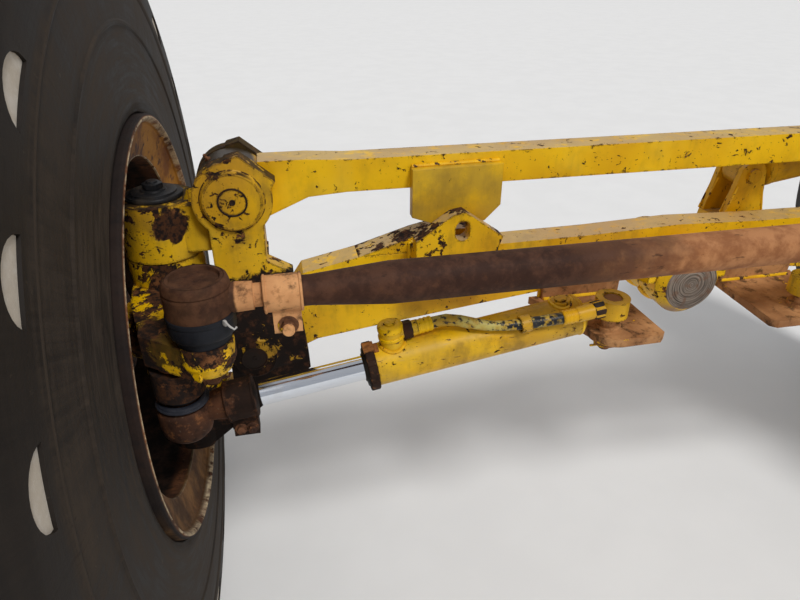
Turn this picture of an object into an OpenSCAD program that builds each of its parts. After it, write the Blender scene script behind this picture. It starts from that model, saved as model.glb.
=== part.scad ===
// Steered and leaning front axle of a motor grader, complete with both wheels.
// Millimetres. X runs to the right-hand wheel, Y forward, Z up.
// The origin is the middle of the centre pivot, on which the axle oscillates under the frame.

/* [Wheels] */
// Distance between the two tyre centres
track = 2120; // [2000:5:2400]
// Outer diameter of the tyre
tyre_d = 1370; // [1200:5:1500]
// Widest width of the tyre
tyre_w = 312; // [290:2:400]
// Diameter of the bead seat
rim_d = 610; // [560:1:640]
// Outer diameter of the rim flanges
flange_d = 686; // [640:1:720]
// Width between the rim flanges
rim_w = 267; // [203:1:300]
// Thickness of the wheel disc
disc_t = 14; // [8:1:20]
// Number of wheel studs
stud_count = 12; // [8:1:16]
// Radius of the wheel stud circle
stud_circle_r = 142; // [120:1:150]

/* [Beam] */
// Thickness of the solid beam, front to back
beam_t = 50; // [40:1:80]
// Length of the centre pivot housing
pivot_len = 193; // [160:1:240]
// Outer radius of the centre pivot housing
pivot_r = 63; // [54:1:80]
// Bore radius of the centre pivot
pivot_bore_r = 38; // [30:0.5:50]
// Thickness of the plate that closes the centre pivot behind
pivot_cap = 12; // [6:1:20]
// Height of the centre pivot above the wheel centres
pivot_h = 30; // [0:1:100]
// Radius of the beam's end eyes
beam_eye_r = 42; // [36:1:46]
// Thickness of the slotted plate that the lean lock bolts to
lock_t = 26; // [16:1:36]

/* [Yokes] */
// Distance of each kingpin from the middle
kingpin_x = 894; // [860:1:905]
// Distance of each lean pin from the middle
lean_x = 777; // [765:1:790]
// Height of the upper lean pin above the wheel centre
upper_z = 231; // [200:1:260]
// Height of the lower lean pin above the wheel centre
lower_z = -45; // [-60:1:-30]
// Width of the yoke, front to back
yoke_w = 114; // [104:1:130]
// Radius of the kingpin bosses
boss_r = 58; // [52:1:64]
// Radius of the lean pins
pin_r = 20; // [16:0.5:25]
// Radius of the kingpin
kingpin_r = 25; // [20:0.5:32]
// Height of the knuckle between the two kingpin bosses
knuckle_h = 276; // [240:2:300]

/* [Lean bar] */
// Height of the lean bar
bar_h = 51; // [40:1:70]
// Height of the bar's middle above the upper lean pins
bar_rise = 17; // [0:1:30]
// Radius of the bar's end eyes
bar_eye_r = 57; // [48:1:60]

/* [Steering] */
// Ball of the tie rod, inboard of the kingpin
tie_x = 69; // [40:1:85]
// Ball of the tie rod, behind the kingpin
tie_y = 210; // [205:1:240]
// Height of the tie rod above the wheel centre
tie_z = 155; // [140:1:180]
// Outer radius of the tie rod tube
tie_r = 30; // [24:0.5:36]
// Radius of the tie rod's ball sockets
socket_r = 43.5; // [38:0.5:46]
// Radius of the ball seat under each of those sockets
seat_r = 52; // [50:0.5:56]
// Ball of the steering cylinder, inboard of the kingpin
cyl_x = 16; // [0:1:24]
// Ball of the steering cylinder, behind the kingpin
cyl_y = 175; // [160:1:190]
// Height of the steering cylinder's rod ball above the wheel centre
cyl_z = -50; // [-60:1:-40]
// Radius of the cylinder's ball sockets
eye_r = 36; // [30:0.5:40]
// Distance of the cylinder's base ball from the middle
base_x = 188; // [170:1:220]
// Distance of the cylinder's base ball behind the middle plane
base_y = 150; // [135:1:170]
// Height of the cylinder's base ball above the wheel centre
base_z = 40; // [20:1:60]
// Radius of the ball in the steering cylinder's base eye
base_ball_r = 20; // [17:0.5:21]
// Outer radius of the steering cylinder's barrel
barrel_r = 33; // [30:0.5:40]
// Radius of the steering cylinder's rod
rod_r = 19; // [14:0.5:22]
// Distance of the gland's face from the base ball
gland_at = 418; // [400:1:430]
// Radius of the hose along the barrel
hose_r = 9.5; // [7:0.5:11]

/* [Wheel lean cylinder] */
// Outer radius of the lean cylinder's barrel
lean_barrel_r = 38; // [32:0.5:46]
// Radius of the lean cylinder's rod
lean_rod_r = 20; // [14:0.5:25]
// Distance of its base pin from the middle
lean_base_x = 185; // [182:1:205]
// Distance of its rod pin from the middle
lean_eye_x = 630; // [600:1:650]
// Distance of the cylinder in front of the middle plane
lean_cyl_y = 72; // [68:1:90]

/* [Hidden] */
$fn = 96;
// running clearance of a pin in its bore, on the radius
run = 0.05;
// gap between pieces that slide past each other
slide = 1.5;
// gap between rod tip and clamp, where the linkage is left open
open_gap = 9;
tie_gap = 8;
wheel_x = track / 2;
cheek_in = beam_t / 2 + slide;
knuckle_half = knuckle_h / 2;
boss_top = knuckle_half + 90;
hub_x = wheel_x + 22;
rod_eye = [kingpin_x - cyl_x, -cyl_y, cyl_z];
rod_base = [base_x, -base_y, base_z];
rod_len = norm(rod_eye - rod_base);
lean_base = [lean_base_x, lean_cyl_y, 178];
lean_eye = [lean_eye_x, lean_cyl_y, upper_z + bar_rise];
lean_len = norm(lean_eye - lean_base);
tie_ball = [kingpin_x - tie_x, -tie_y, tie_z];
// curl of the rim's flanges, from its lip to the bead: outward from the bead, and down from the flange's outer radius
flange = [[34.5, 6], [32, 1], [28, 0], [16, 0], [6, 4], [0, 14]];
hose_lift = 2;
// hose along the barrel: angle from straight up, lift off the barrel, and distance from the base ball
hose_route = [[0, 8, 330], [0, 9, 306], [3, 10, 284], [12, 8, 264], [23, 4, 244], [34, 2, 222],
              [42, hose_lift, 196], [47, hose_lift, 168], [51, hose_lift, 138], [54, hose_lift, 110], [55, hose_lift, 84]];

// everything below is drawn from the wheel centres, for the right-hand side
module placed(s = 1) {
  translate([0, 0, -pivot_h]) mirror([s < 0 ? 1 : 0, 0, 0]) children();
}

// stands its children, drawn up +Z, on the line from a to b
module along(a, b) {
  d = b - a;
  translate(a) rotate([0, acos(d[2] / norm(d)), atan2(d[1], d[0])]) children();
}

// a flat outline in X and Z, thickened along Y from y0 to y1
module slab(y0, y1, pts) {
  translate([0, y1, 0]) rotate([90, 0, 0]) linear_extrude(height = y1 - y0) polygon(pts);
}

// a round bar along Y
module ybar(x, z, r, y0, y1) {
  translate([x, y1, z]) rotate([90, 0, 0]) cylinder(r = r, h = y1 - y0);
}

// a turned piece about the X axis: points are [x, radius]
module turned(pts) {
  rotate([90, 0, 90]) rotate_extrude($fn = 128) polygon([for (p = pts) [p[1], p[0]]]);
}

// beam

module beam_half() {
  union() {
    slab(-beam_t / 2, beam_t / 2, [
      [0, 118], [170, 112], [360, 110], [591, 108], [684, 88],
      [lean_x - 26, lower_z + 33], [lean_x, lower_z], [lean_x - 8, lower_z - 41],
      [668, -42], [579, -30], [365, -4], [170, 18], [0, 10]]);
    ybar(lean_x, lower_z, beam_eye_r, -beam_t / 2, beam_t / 2);
  }
}

module axle_beam() {
  color("gold") placed() difference() {
    union() {
      beam_half();
      mirror([1, 0, 0]) beam_half();
      ybar(0, pivot_h, pivot_r, -beam_t / 2, beam_t / 2);
    }
    ybar(0, pivot_h, pivot_bore_r, -pivot_len, pivot_len);
    for (s = [-1, 1]) ybar(s * lean_x, lower_z, pin_r + run, -beam_t, beam_t);
  }
}

// boss of the centre pivot with its two webs: t is 1 in front of the beam, and -1 behind it, where a plate closes the bore
module pivot_boss(t) {
  long = (pivot_len - beam_t) / 2;
  color("gold") placed() mirror([0, t < 0 ? 1 : 0, 0]) difference() {
    union() {
      translate([0, beam_t / 2, pivot_h]) rotate([-90, 0, 0])
        rotate_extrude() polygon([[0, 0], [pivot_r, 0], [pivot_r, long - 14], [pivot_r - 14, long], [0, long]]);
      for (m = [0, 1]) mirror([m, 0, 0]) translate([0, 0, pivot_h + 2]) linear_extrude(height = 14)
        polygon([[pivot_bore_r + 8, beam_t / 2], [94, beam_t / 2], [94, beam_t / 2 + 20], [78, pivot_len / 2 - 16], [pivot_bore_r + 8, pivot_len / 2 - 16]]);
    }
    ybar(0, pivot_h, pivot_bore_r, 0, pivot_len / 2 - (t < 0 ? pivot_cap : -1));
  }
}

// slotted bracket for the bolt that locks the lean, on the left only
module lean_lock_bracket() {
  y0 = -(beam_t / 2 + 18 + 6 + lock_t);
  color("gold") placed(-1) difference() {
    union() {
      slab(-beam_t / 2, beam_t / 2, [[591, 108], [496, 137], [460, 145], [376, 145], [360, 110]]);
      slab(y0, y0 + lock_t, [[504, 60], [504, 149], [444, 190], [425, 193], [359, 147], [366, 126], [366, 60]]);
      slab(y0, -beam_t / 2, [[504, 60], [504, 128], [366, 128], [366, 60]]);
    }
    ybar(428, 157, 12, y0 - 1, y0 + lock_t + 1);
    ybar(428, 167, 12, y0 - 1, y0 + lock_t + 1);
    translate([416, y0 - 1, 157]) cube([24, lock_t + 2, 10]);
  }
}

module lean_cylinder_bracket() {
  x = lean_base[0];
  z = lean_base[2];
  color("gold") placed() difference() {
    union() {
      for (s = [-1, 1]) {
        y = lean_cyl_y + s * (lean_rod_r + 9);
        slab(y - 6, y + 6, [[x - 50, 50], [x - 28, z], [x + 28, z], [x + 50, 50]]);
        ybar(x, z, 28, y - 6, y + 6);
      }
      slab(beam_t / 2, lean_cyl_y + lean_rod_r + 15, [[x - 50, 50], [x - 44, 92], [x + 44, 92], [x + 50, 50]]);
      ybar(x, z, 14, lean_cyl_y - lean_rod_r - 21, lean_cyl_y + lean_rod_r + 21);
    }
  }
}

// plate behind the beam, with the ball stud of a steering cylinder's base
module base_bracket(s) {
  z1 = base_z - 42;
  color("saddlebrown") placed(s) union() {
    translate([0, 0, z1 - 14]) linear_extrude(height = 14) union() {
      translate([base_x - 8, -base_y - 2]) circle(r = 42);
      polygon([[base_x - 8, -base_y - 44], [base_x - 76, -base_y - 43], [base_x - 86, -base_y - 34], [base_x - 80, -beam_t / 2],
               [base_x + 90, -beam_t / 2], [base_x + 66, -75], [base_x + 34, -base_y - 2]]);
    }
    translate([base_x - 80, -beam_t / 2 - 14, z1 - 14]) cube([150, 14, 70]);
    translate([base_x - 30, -beam_t / 2 - 96, z1 - 50]) cube([16, 96, 38]);
    translate([base_x, -base_y, z1 - 32]) cylinder(r = 20, h = 20, $fn = 6);
    translate([base_x, -base_y, z1 - 1]) cylinder(r = 21, h = 8);
    translate([base_x, -base_y, z1 - 1]) cylinder(r = 13, h = 40);
    intersection() {
      translate(rod_base) sphere(r = base_ball_r);
      translate(rod_base - [0, 0, 30]) cylinder(r = 30, h = 44);
    }
  }
}

// yokes: pivot on the beam, carry the kingpins and the lean bar

module yoke(s) {
  w = yoke_w / 2;
  color("goldenrod") placed(s) difference() {
    union() {
      slab(-w, w, [
        [lean_x - 64, upper_z + 25], [lean_x - 15, upper_z + 66], [lean_x + 5, upper_z + 61],
        [817, upper_z + 20], [817, 178], [817, -140], [832, -150], [832, -boss_top], [762, -boss_top],
        [710, -175], [684, -110], [686, -60], [691, 0], [698, 42], [699, 106], [738, 130], [lean_x - 42, upper_z - 4]]);
      ybar(lean_x, upper_z, 58, -w, w);
      for (t = [-1, 1]) ybar(lean_x, upper_z, 43, t > 0 ? w : -w - 6, t > 0 ? w + 6 : -w);
      for (t = [-1, 1]) ybar(lean_x, lower_z, 36, t > 0 ? w : -w - 5, t > 0 ? w + 5 : -w);
      // kingpin bosses and the webs that carry them
      translate([kingpin_x, 0, knuckle_half + 2]) cylinder(r = boss_r, h = 88);
      translate([kingpin_x, 0, -boss_top]) cylinder(r = boss_r, h = 88);
      translate([lean_x, -42, 150]) cube([kingpin_x - lean_x, 84, boss_top - 150 - 4]);
      translate([lean_x, -50, -boss_top]) cube([kingpin_x - lean_x, 100, 84]);
    }
    // room for the lean bar's eye and the beam's eye
    slab(-cheek_in, cheek_in, [
      [620, 168], [817, 168], [850, 200], [850, 330], [620, 330]]);
    ybar(lean_x, lower_z, beam_eye_r + 5, -cheek_in, cheek_in);
    slab(-cheek_in, cheek_in, [
      [lean_x + 8, lower_z + 40], [744, 128], [620, 128], [620, -98], [lean_x, -98]]);
    // the front cheek's shoulder lies lower
    slab(cheek_in - 1, w + 1, [[620, 68], [699, 52], [738, 78], [738, 170], [620, 170]]);
    // kingpin and lean pins
    translate([kingpin_x, 0, -300]) cylinder(r = kingpin_r, h = 600);
    ybar(lean_x, upper_z, pin_r, -100, 100);
    ybar(lean_x, lower_z, pin_r, -100, 100);
    // room for the turning knuckle
    translate([kingpin_x, 0, -knuckle_half - 2]) cylinder(r = boss_r + 6, h = knuckle_h + 4);
  }
}

module lean_pin(s, z, proud) {
  w = yoke_w / 2 + proud;
  color("silver") placed(s) ybar(lean_x, z, pin_r, -w, w);
}

module kingpin(s) {
  color("dimgray") placed(s) translate([kingpin_x, 0, 0]) union() {
    translate([0, 0, -boss_top + 2]) cylinder(r = kingpin_r, h = 2 * boss_top - 4);
    for (t = [-1, 1]) mirror([0, 0, t < 0 ? 1 : 0]) {
      translate([0, 0, boss_top]) cylinder(r = 41, h = 6);
      translate([0, 0, boss_top + 6]) cylinder(r = 33, h = 3);
      translate([0, 0, boss_top - 2]) cylinder(r = kingpin_r, h = 3);
      translate([0, 0, boss_top + 9]) cylinder(r = 14, h = 12, $fn = 6);
    }
  }
}

// lean bar

module lean_bar() {
  z = upper_z + bar_rise;
  color("gold") placed() difference() {
    union() {
      slab(-beam_t / 2, beam_t / 2, [
        [-lean_x + 40, z + 30], [-665, z + bar_h / 2 + 4], [-605, z + bar_h / 2], [605, z + bar_h / 2], [665, z + bar_h / 2 + 4], [lean_x - 40, z + 30],
        [lean_x - 40, z - 60], [665, z - bar_h / 2 - 4], [605, z - bar_h / 2], [-605, z - bar_h / 2], [-665, z - bar_h / 2 - 4], [-lean_x + 40, z - 60]]);
      for (s = [-1, 1]) ybar(s * lean_x, upper_z, bar_eye_r, -beam_t / 2, beam_t / 2);
      // lugs for the lean cylinder's rod
      for (t = [-1, 1]) {
        y = lean_cyl_y + t * 28;
        slab(y - 6, y + 6, [[lean_eye_x - 42, z - 22], [lean_eye_x - 42, z + 22], [lean_eye_x, z + 26], [lean_eye_x + 42, z + 22], [lean_eye_x + 42, z - 22], [lean_eye_x, z - 26]]);
      }
      slab(beam_t / 2, lean_cyl_y + 34, [[lean_eye_x + 32, z - 22], [lean_eye_x + 32, z + 22], [lean_eye_x + 48, z + 22], [lean_eye_x + 48, z - 22]]);
      slab(beam_t / 2, lean_cyl_y - 34, [[lean_eye_x - 42, z - 22], [lean_eye_x - 42, z + 22], [lean_eye_x + 42, z + 22], [lean_eye_x + 42, z - 22]]);
    }
    for (s = [-1, 1]) ybar(s * lean_x, upper_z, pin_r + run, -beam_t, beam_t);
  }
}

module lean_lock_plate() {
  color("gold") placed(-1) {
    slab(-beam_t / 2 - 18, -beam_t / 2, [[504, 178], [504, 256], [356, 258], [356, 190], [382, 164], [466, 164]]);
  }
}

// eye of the lean cylinder's rod, on its pin in the bar's lugs
module lean_rod_eye() {
  color("dimgray") placed() union() {
    ybar(lean_eye[0], lean_eye[2], 26, lean_eye[1] - 21.5, lean_eye[1] + 21.5);
    ybar(lean_eye[0], lean_eye[2], 10, lean_eye[1] + 21, lean_eye[1] + 22);
    along(lean_eye, lean_base) cylinder(r = lean_rod_r + 1, h = 56);
  }
}

// knuckles

module knuckle(s) {
  top = tie_z - seat_r - 5;
  low = cyl_z + eye_r + 6;
  tie_low = top - 48;
  color("goldenrod") placed(s) difference() {
    union() {
      translate([kingpin_x, 0, -knuckle_half]) cylinder(r = boss_r, h = knuckle_h);
      // arm: an outboard root, then two stepped bosses
      translate([kingpin_x, 0, low + 14]) linear_extrude(height = top - low - 14)
        polygon([[54, -10], [46, -90], [30, -150], [-cyl_x + 20, -cyl_y - 10], [-cyl_x - 30, -cyl_y + 6], [-26, -118], [5, -86], [8, -20]]);
      translate([kingpin_x, 0, tie_low]) linear_extrude(height = top - tie_low)
        polygon([[28, -130], [20, -190], [-tie_x + 10, -tie_y - 36], [-tie_x - 24, -tie_y + 28], [-28, -122], [0, -90]]);
      translate([kingpin_x - tie_x, -tie_y, tie_low]) cylinder(r1 = 30, r2 = 38, h = 18);
      translate([kingpin_x - tie_x, -tie_y, tie_low + 18]) cylinder(r = 38, h = top - tie_low - 18);
      translate([kingpin_x - cyl_x, -cyl_y, low]) cylinder(r = 36, h = 46);
      // spindle
      translate([kingpin_x, 0, 0]) turned([[0, 0], [0, 58], [50, 58], [78, 46], [82, 42], [hub_x - kingpin_x - 22, 42],
        [hub_x - kingpin_x - 22, 32], [hub_x - kingpin_x + 52, 32], [hub_x - kingpin_x + 52, 0]]);
      // nut
      translate([hub_x + 52, 0, 0]) rotate([0, 90, 0]) cylinder(r = 42, h = 18, $fn = 6);
    }
    translate([kingpin_x, 0, -200]) cylinder(r = kingpin_r + run, h = 400);
  }
}

// wheels

module hub(s) {
  color("goldenrod") placed(s) difference() {
    union() {
      translate([hub_x, 0, 0]) turned([[-100, 0], [-100, 72], [-60, 80], [-20, 82], [-4, 110], [0, 165], [18, 165], [18, 66], [56, 62], [56, 54], [96, 50], [98, 0]]);
    }
    // bearing seats run on the spindle
    translate([hub_x, 0, 0]) turned([[-101, 0], [-101, 42 + run], [-21.5, 42 + run], [-21.5, 32 + run], [51, 32 + run], [51, 45], [84, 45], [84, 0]]);
    for (i = [0:stud_count - 1]) rotate([i * 360 / stud_count, 0, 0]) translate([hub_x - 1, 0, stud_circle_r]) rotate([0, 90, 0]) cylinder(r = 9, h = 20);
  }
}

module rim(s) {
  h = rim_w / 2;
  r = rim_d / 2;
  f = flange_d / 2;
  d = hub_x + 18 - wheel_x;
  bed = f - 64;
  color("sienna") placed(s) difference() {
    translate([wheel_x, 0, 0]) union() {
      // barrel with its two curled flanges
      turned(concat(
        [for (p = flange) [-h - p[0], f - p[1]]], [[-h, r], [-h + 40, r], [-h + 58, r - 12], [h - 30, r - 12], [h - 18, r], [h, r]],
        [for (i = [len(flange) - 1:-1:0]) [h + flange[i][0], f - flange[i][1]]],
        [[h + 33, f - 8.5], [h + 22, f - 14], [h + 17, f - 26], [h + 13, f - 44], [h + 7, f - 63], [h - 20, f - 64],
         [-h + 20, f - 64], [-h - 7, f - 63], [-h - 13, f - 44], [-h - 17, f - 26], [-h - 22, f - 14], [-h - 33, f - 8.5]]));
      // disc
      turned([[d, 66.2], [d, 180], [d + 22, 226], [d + 22, bed + 1], [d + 22 + disc_t, bed + 1], [d + 22 + disc_t, 220], [d + disc_t, 174], [d + disc_t, 66.2]]);
    }
    for (i = [0:stud_count - 1]) rotate([i * 360 / stud_count, 0, 0]) translate([hub_x, 0, stud_circle_r]) rotate([0, 90, 0]) cylinder(r = 9, h = 60);
    for (i = [0:7]) rotate([i * 45 + 22.5, 0, 0]) translate([hub_x, 0, 228]) rotate([0, 90, 0]) cylinder(r = 22, h = 80);
  }
}

module tyre(s) {
  h = rim_w / 2;
  r = rim_d / 2;
  f = flange_d / 2;
  w = max(tyre_w / 2, h + 22);
  t = tyre_d / 2;
  m = (r + t) / 2;
  // from the bead over the flange and up the sidewall to the crown
  outer = concat([[h - 30, r], [h, r]], [for (i = [len(flange) - 1:-1:2]) [h + flange[i][0], f - flange[i][1]]],
    [[h + 21, f + 3], [w - 1, f + 40], [w, m - 60], [w, m + 10], [w - 5, m + 70], [w - 14, m + 112], [w - 32, t - 24], [w - 48, t - 12], [w - 72, t - 5], [w - 106, t - 1], [w - 130, t]]);
  inner = [[w - 120, t - 38], [w - 70, t - 46], [w - 44, t - 76], [w - 28, m + 40], [w - 26, m - 20], [w - 34, m - 70], [h - 4, f + 14], [h - 24, f - 8], [h - 30, r + 14]];
  color("dimgray") placed(s) translate([wheel_x, 0, 0])
    turned(concat(outer, [for (i = [len(outer) - 1:-1:0]) [-outer[i][0], outer[i][1]]],
                  [for (i = [len(inner) - 1:-1:0]) [-inner[i][0], inner[i][1]]], inner));
}

// tie rod

module cup(r_in, r_out, h, depth) {
  // seal ring with a hollow that fits a ball: the ball's centre is depth above its foot
  difference() {
    cylinder(r1 = r_out - 3, r2 = r_out, h = h);
    translate([0, 0, depth]) sphere(r = r_in, $fn = 96);
    translate([0, 0, -1]) cylinder(r = 12, h = h + 2);
  }
}

module tie_boot(s) {
  color("black") placed(s) translate([tie_ball[0], tie_ball[1], tie_z - seat_r - 5]) cup(seat_r + 0.4, socket_r - 4.5, 20, seat_r + 5);
}

module tie_socket() {
  // forged socket: straight wall on a round seat, with a dished cap held by a rolled lip
  intersection() {
    rotate_extrude() polygon([[0, 29], [30, 29], [32, 34], [36, 34], [39, 31], [39, 24], [socket_r - 1.5, 21], [socket_r, 16], [socket_r, -seat_r], [0, -seat_r]]);
    sphere(r = seat_r);
  }
}

module tie_end(s) {
  n = tie_ball - [80, 0, 0];
  color("sienna") placed(s) union() {
    translate(tie_ball) tie_socket();
    along(tie_ball, n) cylinder(r1 = 23, r2 = 19, h = 70);
    along(tie_ball, n) translate([0, 0, 68]) cylinder(r = 16, h = 30);
    // clamp
    along(tie_ball, n) translate([0, 0, 84]) cylinder(r = 25, h = 48);
    translate(tie_ball + [-130, -13, -55]) cube([38, 26, 45]);
    translate(tie_ball + [-111, -30, -43]) rotate([-90, 0, 0]) cylinder(r = 8, h = 60);
  }
}

module tie_rod_tube() {
  a = kingpin_x - tie_x - 132;
  color("sienna") placed() translate([0, -tie_y, tie_z])
    turned([[-a, 0], [-a, 21], [-a + 14, 21], [-a + 120, tie_r], [a - 120, tie_r], [a - 14, 21], [a - tie_gap, 21], [a - tie_gap, 0]]);
}

// steering cylinders

module cylinder_barrel(s) {
  e = rod_eye;
  b = rod_base;
  color("gold") placed(s) difference() {
    union() {
      along(b, e) translate([0, 0, 66]) cylinder(r = barrel_r, h = gland_at - 14 - 66);
      along(b, e) translate([0, 0, 58]) cylinder(r1 = barrel_r - 6, r2 = barrel_r, h = 8);
      along(b, e) translate([0, 0, 20]) cylinder(r = 15, h = 42);
      translate(b - [0, 0, 16]) cylinder(r = 28, h = 32);
      // port block near the gland, with the hose's elbow
      along(b, e) translate([0, 0, gland_at - 46]) rotate([0, -90, 0]) cylinder(r = 18.5, h = barrel_r + 33);
      along(b, e) translate([-barrel_r - hose_r - hose_route[0][1], 0, hose_route[0][2]]) cylinder(r = hose_r + 2.5, h = gland_at - 46 - hose_route[0][2]);
      // port near the base
      along(b, e) translate([0, 0, 92]) rotate([0, -90, 0]) cylinder(r = 16, h = barrel_r + 1);
      // end fitting of the hose on its saddle
      along(b, e) rotate([0, 0, 55]) {
        translate([-barrel_r - hose_r - hose_lift, 0, 40]) cylinder(r = hose_r + 3, h = 44);
        translate([-barrel_r - hose_r - hose_lift, 0, 39]) cylinder(r = hose_r + 5, h = 16, $fn = 6);
        translate([-barrel_r - hose_r, -7, 69]) cube([hose_r + 6, 14, 13]);
      }
      // clip round the hose
      along(b, e) rotate([0, 0, hose_route[7][0]]) translate([-barrel_r - hose_r - hose_lift, 0, hose_route[7][2] - 8]) cylinder(r = hose_r + 4, h = 16);
    }
    along(b, e) translate([0, 0, 76]) cylinder(r = barrel_r - 7, h = gland_at);
    along(b, e) rotate([0, 0, hose_route[7][0]]) translate([-barrel_r - hose_r - hose_lift, 0, hose_route[7][2] - 9]) cylinder(r = hose_r + 1.4, h = 18);
    translate(b) sphere(r = base_ball_r + 0.25);
    translate(b - [0, 0, 20]) cylinder(r = 15.5, h = 40);
  }
}

module cylinder_gland(s) {
  color("saddlebrown") placed(s) along(rod_base, rod_eye) difference() {
    union() {
      translate([0, 0, gland_at - 14]) cylinder(r = barrel_r + 4, h = 14);
      translate([0, 0, gland_at - 34]) cylinder(r = barrel_r - 7 - run, h = 21);
    }
    translate([0, 0, gland_at - 40]) cylinder(r = rod_r + run, h = 60);
  }
}

module cylinder_rod(s) {
  color("silver") placed(s) along(rod_base, rod_eye) union() {
    translate([0, 0, 232]) cylinder(r = rod_r, h = rod_len - 104 - open_gap - 232);
    translate([0, 0, 226]) cylinder(r = barrel_r - 7 - run, h = 18);
  }
}

module rod_boot(s) {
  color("black") placed(s) translate([rod_eye[0], rod_eye[1], cyl_z + eye_r + 6]) mirror([0, 0, 1]) cup(eye_r + 0.4, eye_r - 8, 8, eye_r + 6);
}

module rod_end(s) {
  color("saddlebrown") placed(s) union() {
    translate(rod_eye) sphere(r = eye_r);
    translate(rod_eye + [0, 0, -eye_r - 4]) cylinder(r = 20, h = 20);
    along(rod_eye, rod_base) cylinder(r1 = 15, r2 = 24, h = 66);
    along(rod_eye, rod_base) translate([0, 0, 62]) cylinder(r = 31, h = 42);
    translate(rod_eye + [-104, -11, -50]) cube([38, 22, 40]);
  }
}

// point i of the hose's route, and the way it runs there
function route(i) = let (p = hose_route[i], d = barrel_r + hose_r + p[1]) [-d * cos(p[0]), -d * sin(p[0]), p[2]];
function unit(v) = v / norm(v);
function way(i) = i == 0 || i == len(hose_route) - 1 ? [0, 0, -1] : unit(route(i + 1) - route(i - 1));

module hose(s) {
  sides = 10;
  n = len(hose_route);
  points = [for (i = [0:n - 1]) let (t = way(i), a = unit(cross(t, [0, 1, 0])), b = cross(t, a)) for (k = [0:sides - 1])
    route(i) + hose_r * (cos(k * 360 / sides) * a + sin(k * 360 / sides) * b)];
  faces = concat([[for (k = [0:sides - 1]) sides - 1 - k]],
    [for (i = [0:n - 2]) for (k = [0:sides - 1]) let (j = (k + 1) % sides) [i * sides + k, i * sides + j, (i + 1) * sides + j, (i + 1) * sides + k]],
    [[for (k = [0:sides - 1]) (n - 1) * sides + k]]);
  color("black") placed(s) along(rod_base, rod_eye) polyhedron(points, faces);
}

// wheel lean cylinder

module lean_cylinder_barrel() {
  color("gold") placed() difference() {
    union() {
      along(lean_base, lean_eye) translate([0, 0, 36]) cylinder(r = lean_barrel_r, h = 249);
      along(lean_base, lean_eye) cylinder(r = 18, h = 40);
      ybar(lean_base[0], lean_base[2], 26, lean_cyl_y - lean_rod_r - 1, lean_cyl_y + lean_rod_r + 1);
    }
    along(lean_base, lean_eye) translate([0, 0, 48]) cylinder(r = lean_barrel_r - 8, h = 225);
    along(lean_base, lean_eye) translate([0, 0, 250]) cylinder(r = lean_rod_r + run, h = 100);
    ybar(lean_base[0], lean_base[2], 14 + run, 0, 200);
  }
}

module lean_cylinder_rod() {
  color("silver") placed() along(lean_base, lean_eye) union() {
    translate([0, 0, 150]) cylinder(r = lean_rod_r, h = lean_len - 61 - 150);
    translate([0, 0, 146]) cylinder(r = lean_barrel_r - 8 - run, h = 18);
  }
}

axle_beam();
pivot_boss(-1);  // rear_pivot_boss
pivot_boss(1);  // front_pivot_boss
lean_lock_bracket();
lean_cylinder_bracket();
base_bracket(-1);  // left_base_bracket
base_bracket(1);  // right_base_bracket
yoke(-1);  // left_yoke
yoke(1);  // right_yoke
lean_pin(-1, upper_z, 6);  // left_upper_pin
lean_pin(1, upper_z, 6);  // right_upper_pin
lean_pin(-1, lower_z, 5);  // left_lower_pin
lean_pin(1, lower_z, 5);  // right_lower_pin
kingpin(-1);  // left_kingpin
kingpin(1);  // right_kingpin
lean_bar();
lean_lock_plate();
lean_rod_eye();
knuckle(-1);  // left_knuckle
knuckle(1);  // right_knuckle
hub(-1);  // left_hub
hub(1);  // right_hub
rim(-1);  // left_rim
rim(1);  // right_rim
tyre(-1);  // left_tyre
tyre(1);  // right_tyre
tie_boot(-1);  // left_tie_boot
tie_boot(1);  // right_tie_boot
tie_rod_tube();
tie_end(-1);  // left_tie_end
tie_end(1);  // right_tie_end
cylinder_barrel(-1);  // left_cylinder_barrel
cylinder_barrel(1);  // right_cylinder_barrel
cylinder_gland(-1);  // left_cylinder_gland
cylinder_gland(1);  // right_cylinder_gland
cylinder_rod(-1);  // left_cylinder_rod
cylinder_rod(1);  // right_cylinder_rod
rod_boot(-1);  // left_rod_boot
rod_boot(1);  // right_rod_boot
rod_end(-1);  // left_rod_end
rod_end(1);  // right_rod_end
hose(-1);  // left_hose
hose(1);  // right_hose
lean_cylinder_barrel();
lean_cylinder_rod();
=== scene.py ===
"""Looks of a motor grader's front axle: paint, rust, rubber, welds, bolts, hoses and the stage."""

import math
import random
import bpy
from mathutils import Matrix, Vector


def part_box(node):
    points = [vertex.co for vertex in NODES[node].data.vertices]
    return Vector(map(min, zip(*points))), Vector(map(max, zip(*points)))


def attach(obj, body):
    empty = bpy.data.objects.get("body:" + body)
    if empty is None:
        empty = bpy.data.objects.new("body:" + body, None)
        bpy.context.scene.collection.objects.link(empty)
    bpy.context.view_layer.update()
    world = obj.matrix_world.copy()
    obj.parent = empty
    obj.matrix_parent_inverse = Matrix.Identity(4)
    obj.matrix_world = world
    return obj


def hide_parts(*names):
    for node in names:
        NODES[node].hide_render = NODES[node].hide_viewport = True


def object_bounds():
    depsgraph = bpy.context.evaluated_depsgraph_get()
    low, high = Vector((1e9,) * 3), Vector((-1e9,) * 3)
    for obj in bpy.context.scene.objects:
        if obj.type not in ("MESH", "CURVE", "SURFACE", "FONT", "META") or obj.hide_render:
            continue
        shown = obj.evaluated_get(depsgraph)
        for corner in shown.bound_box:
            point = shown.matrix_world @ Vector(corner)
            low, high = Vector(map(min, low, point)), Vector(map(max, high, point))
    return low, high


bl_info = {
    "name": "Grader front axle looks",
    "version": (2, 0, 0),
    "blender": (4, 5, 0),
    "location": "3D View > Sidebar > Grader axle",
    "description": "Paints and dresses the packed front axle of a motor grader",
    "category": "Object",
}

from functools import partial

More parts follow.
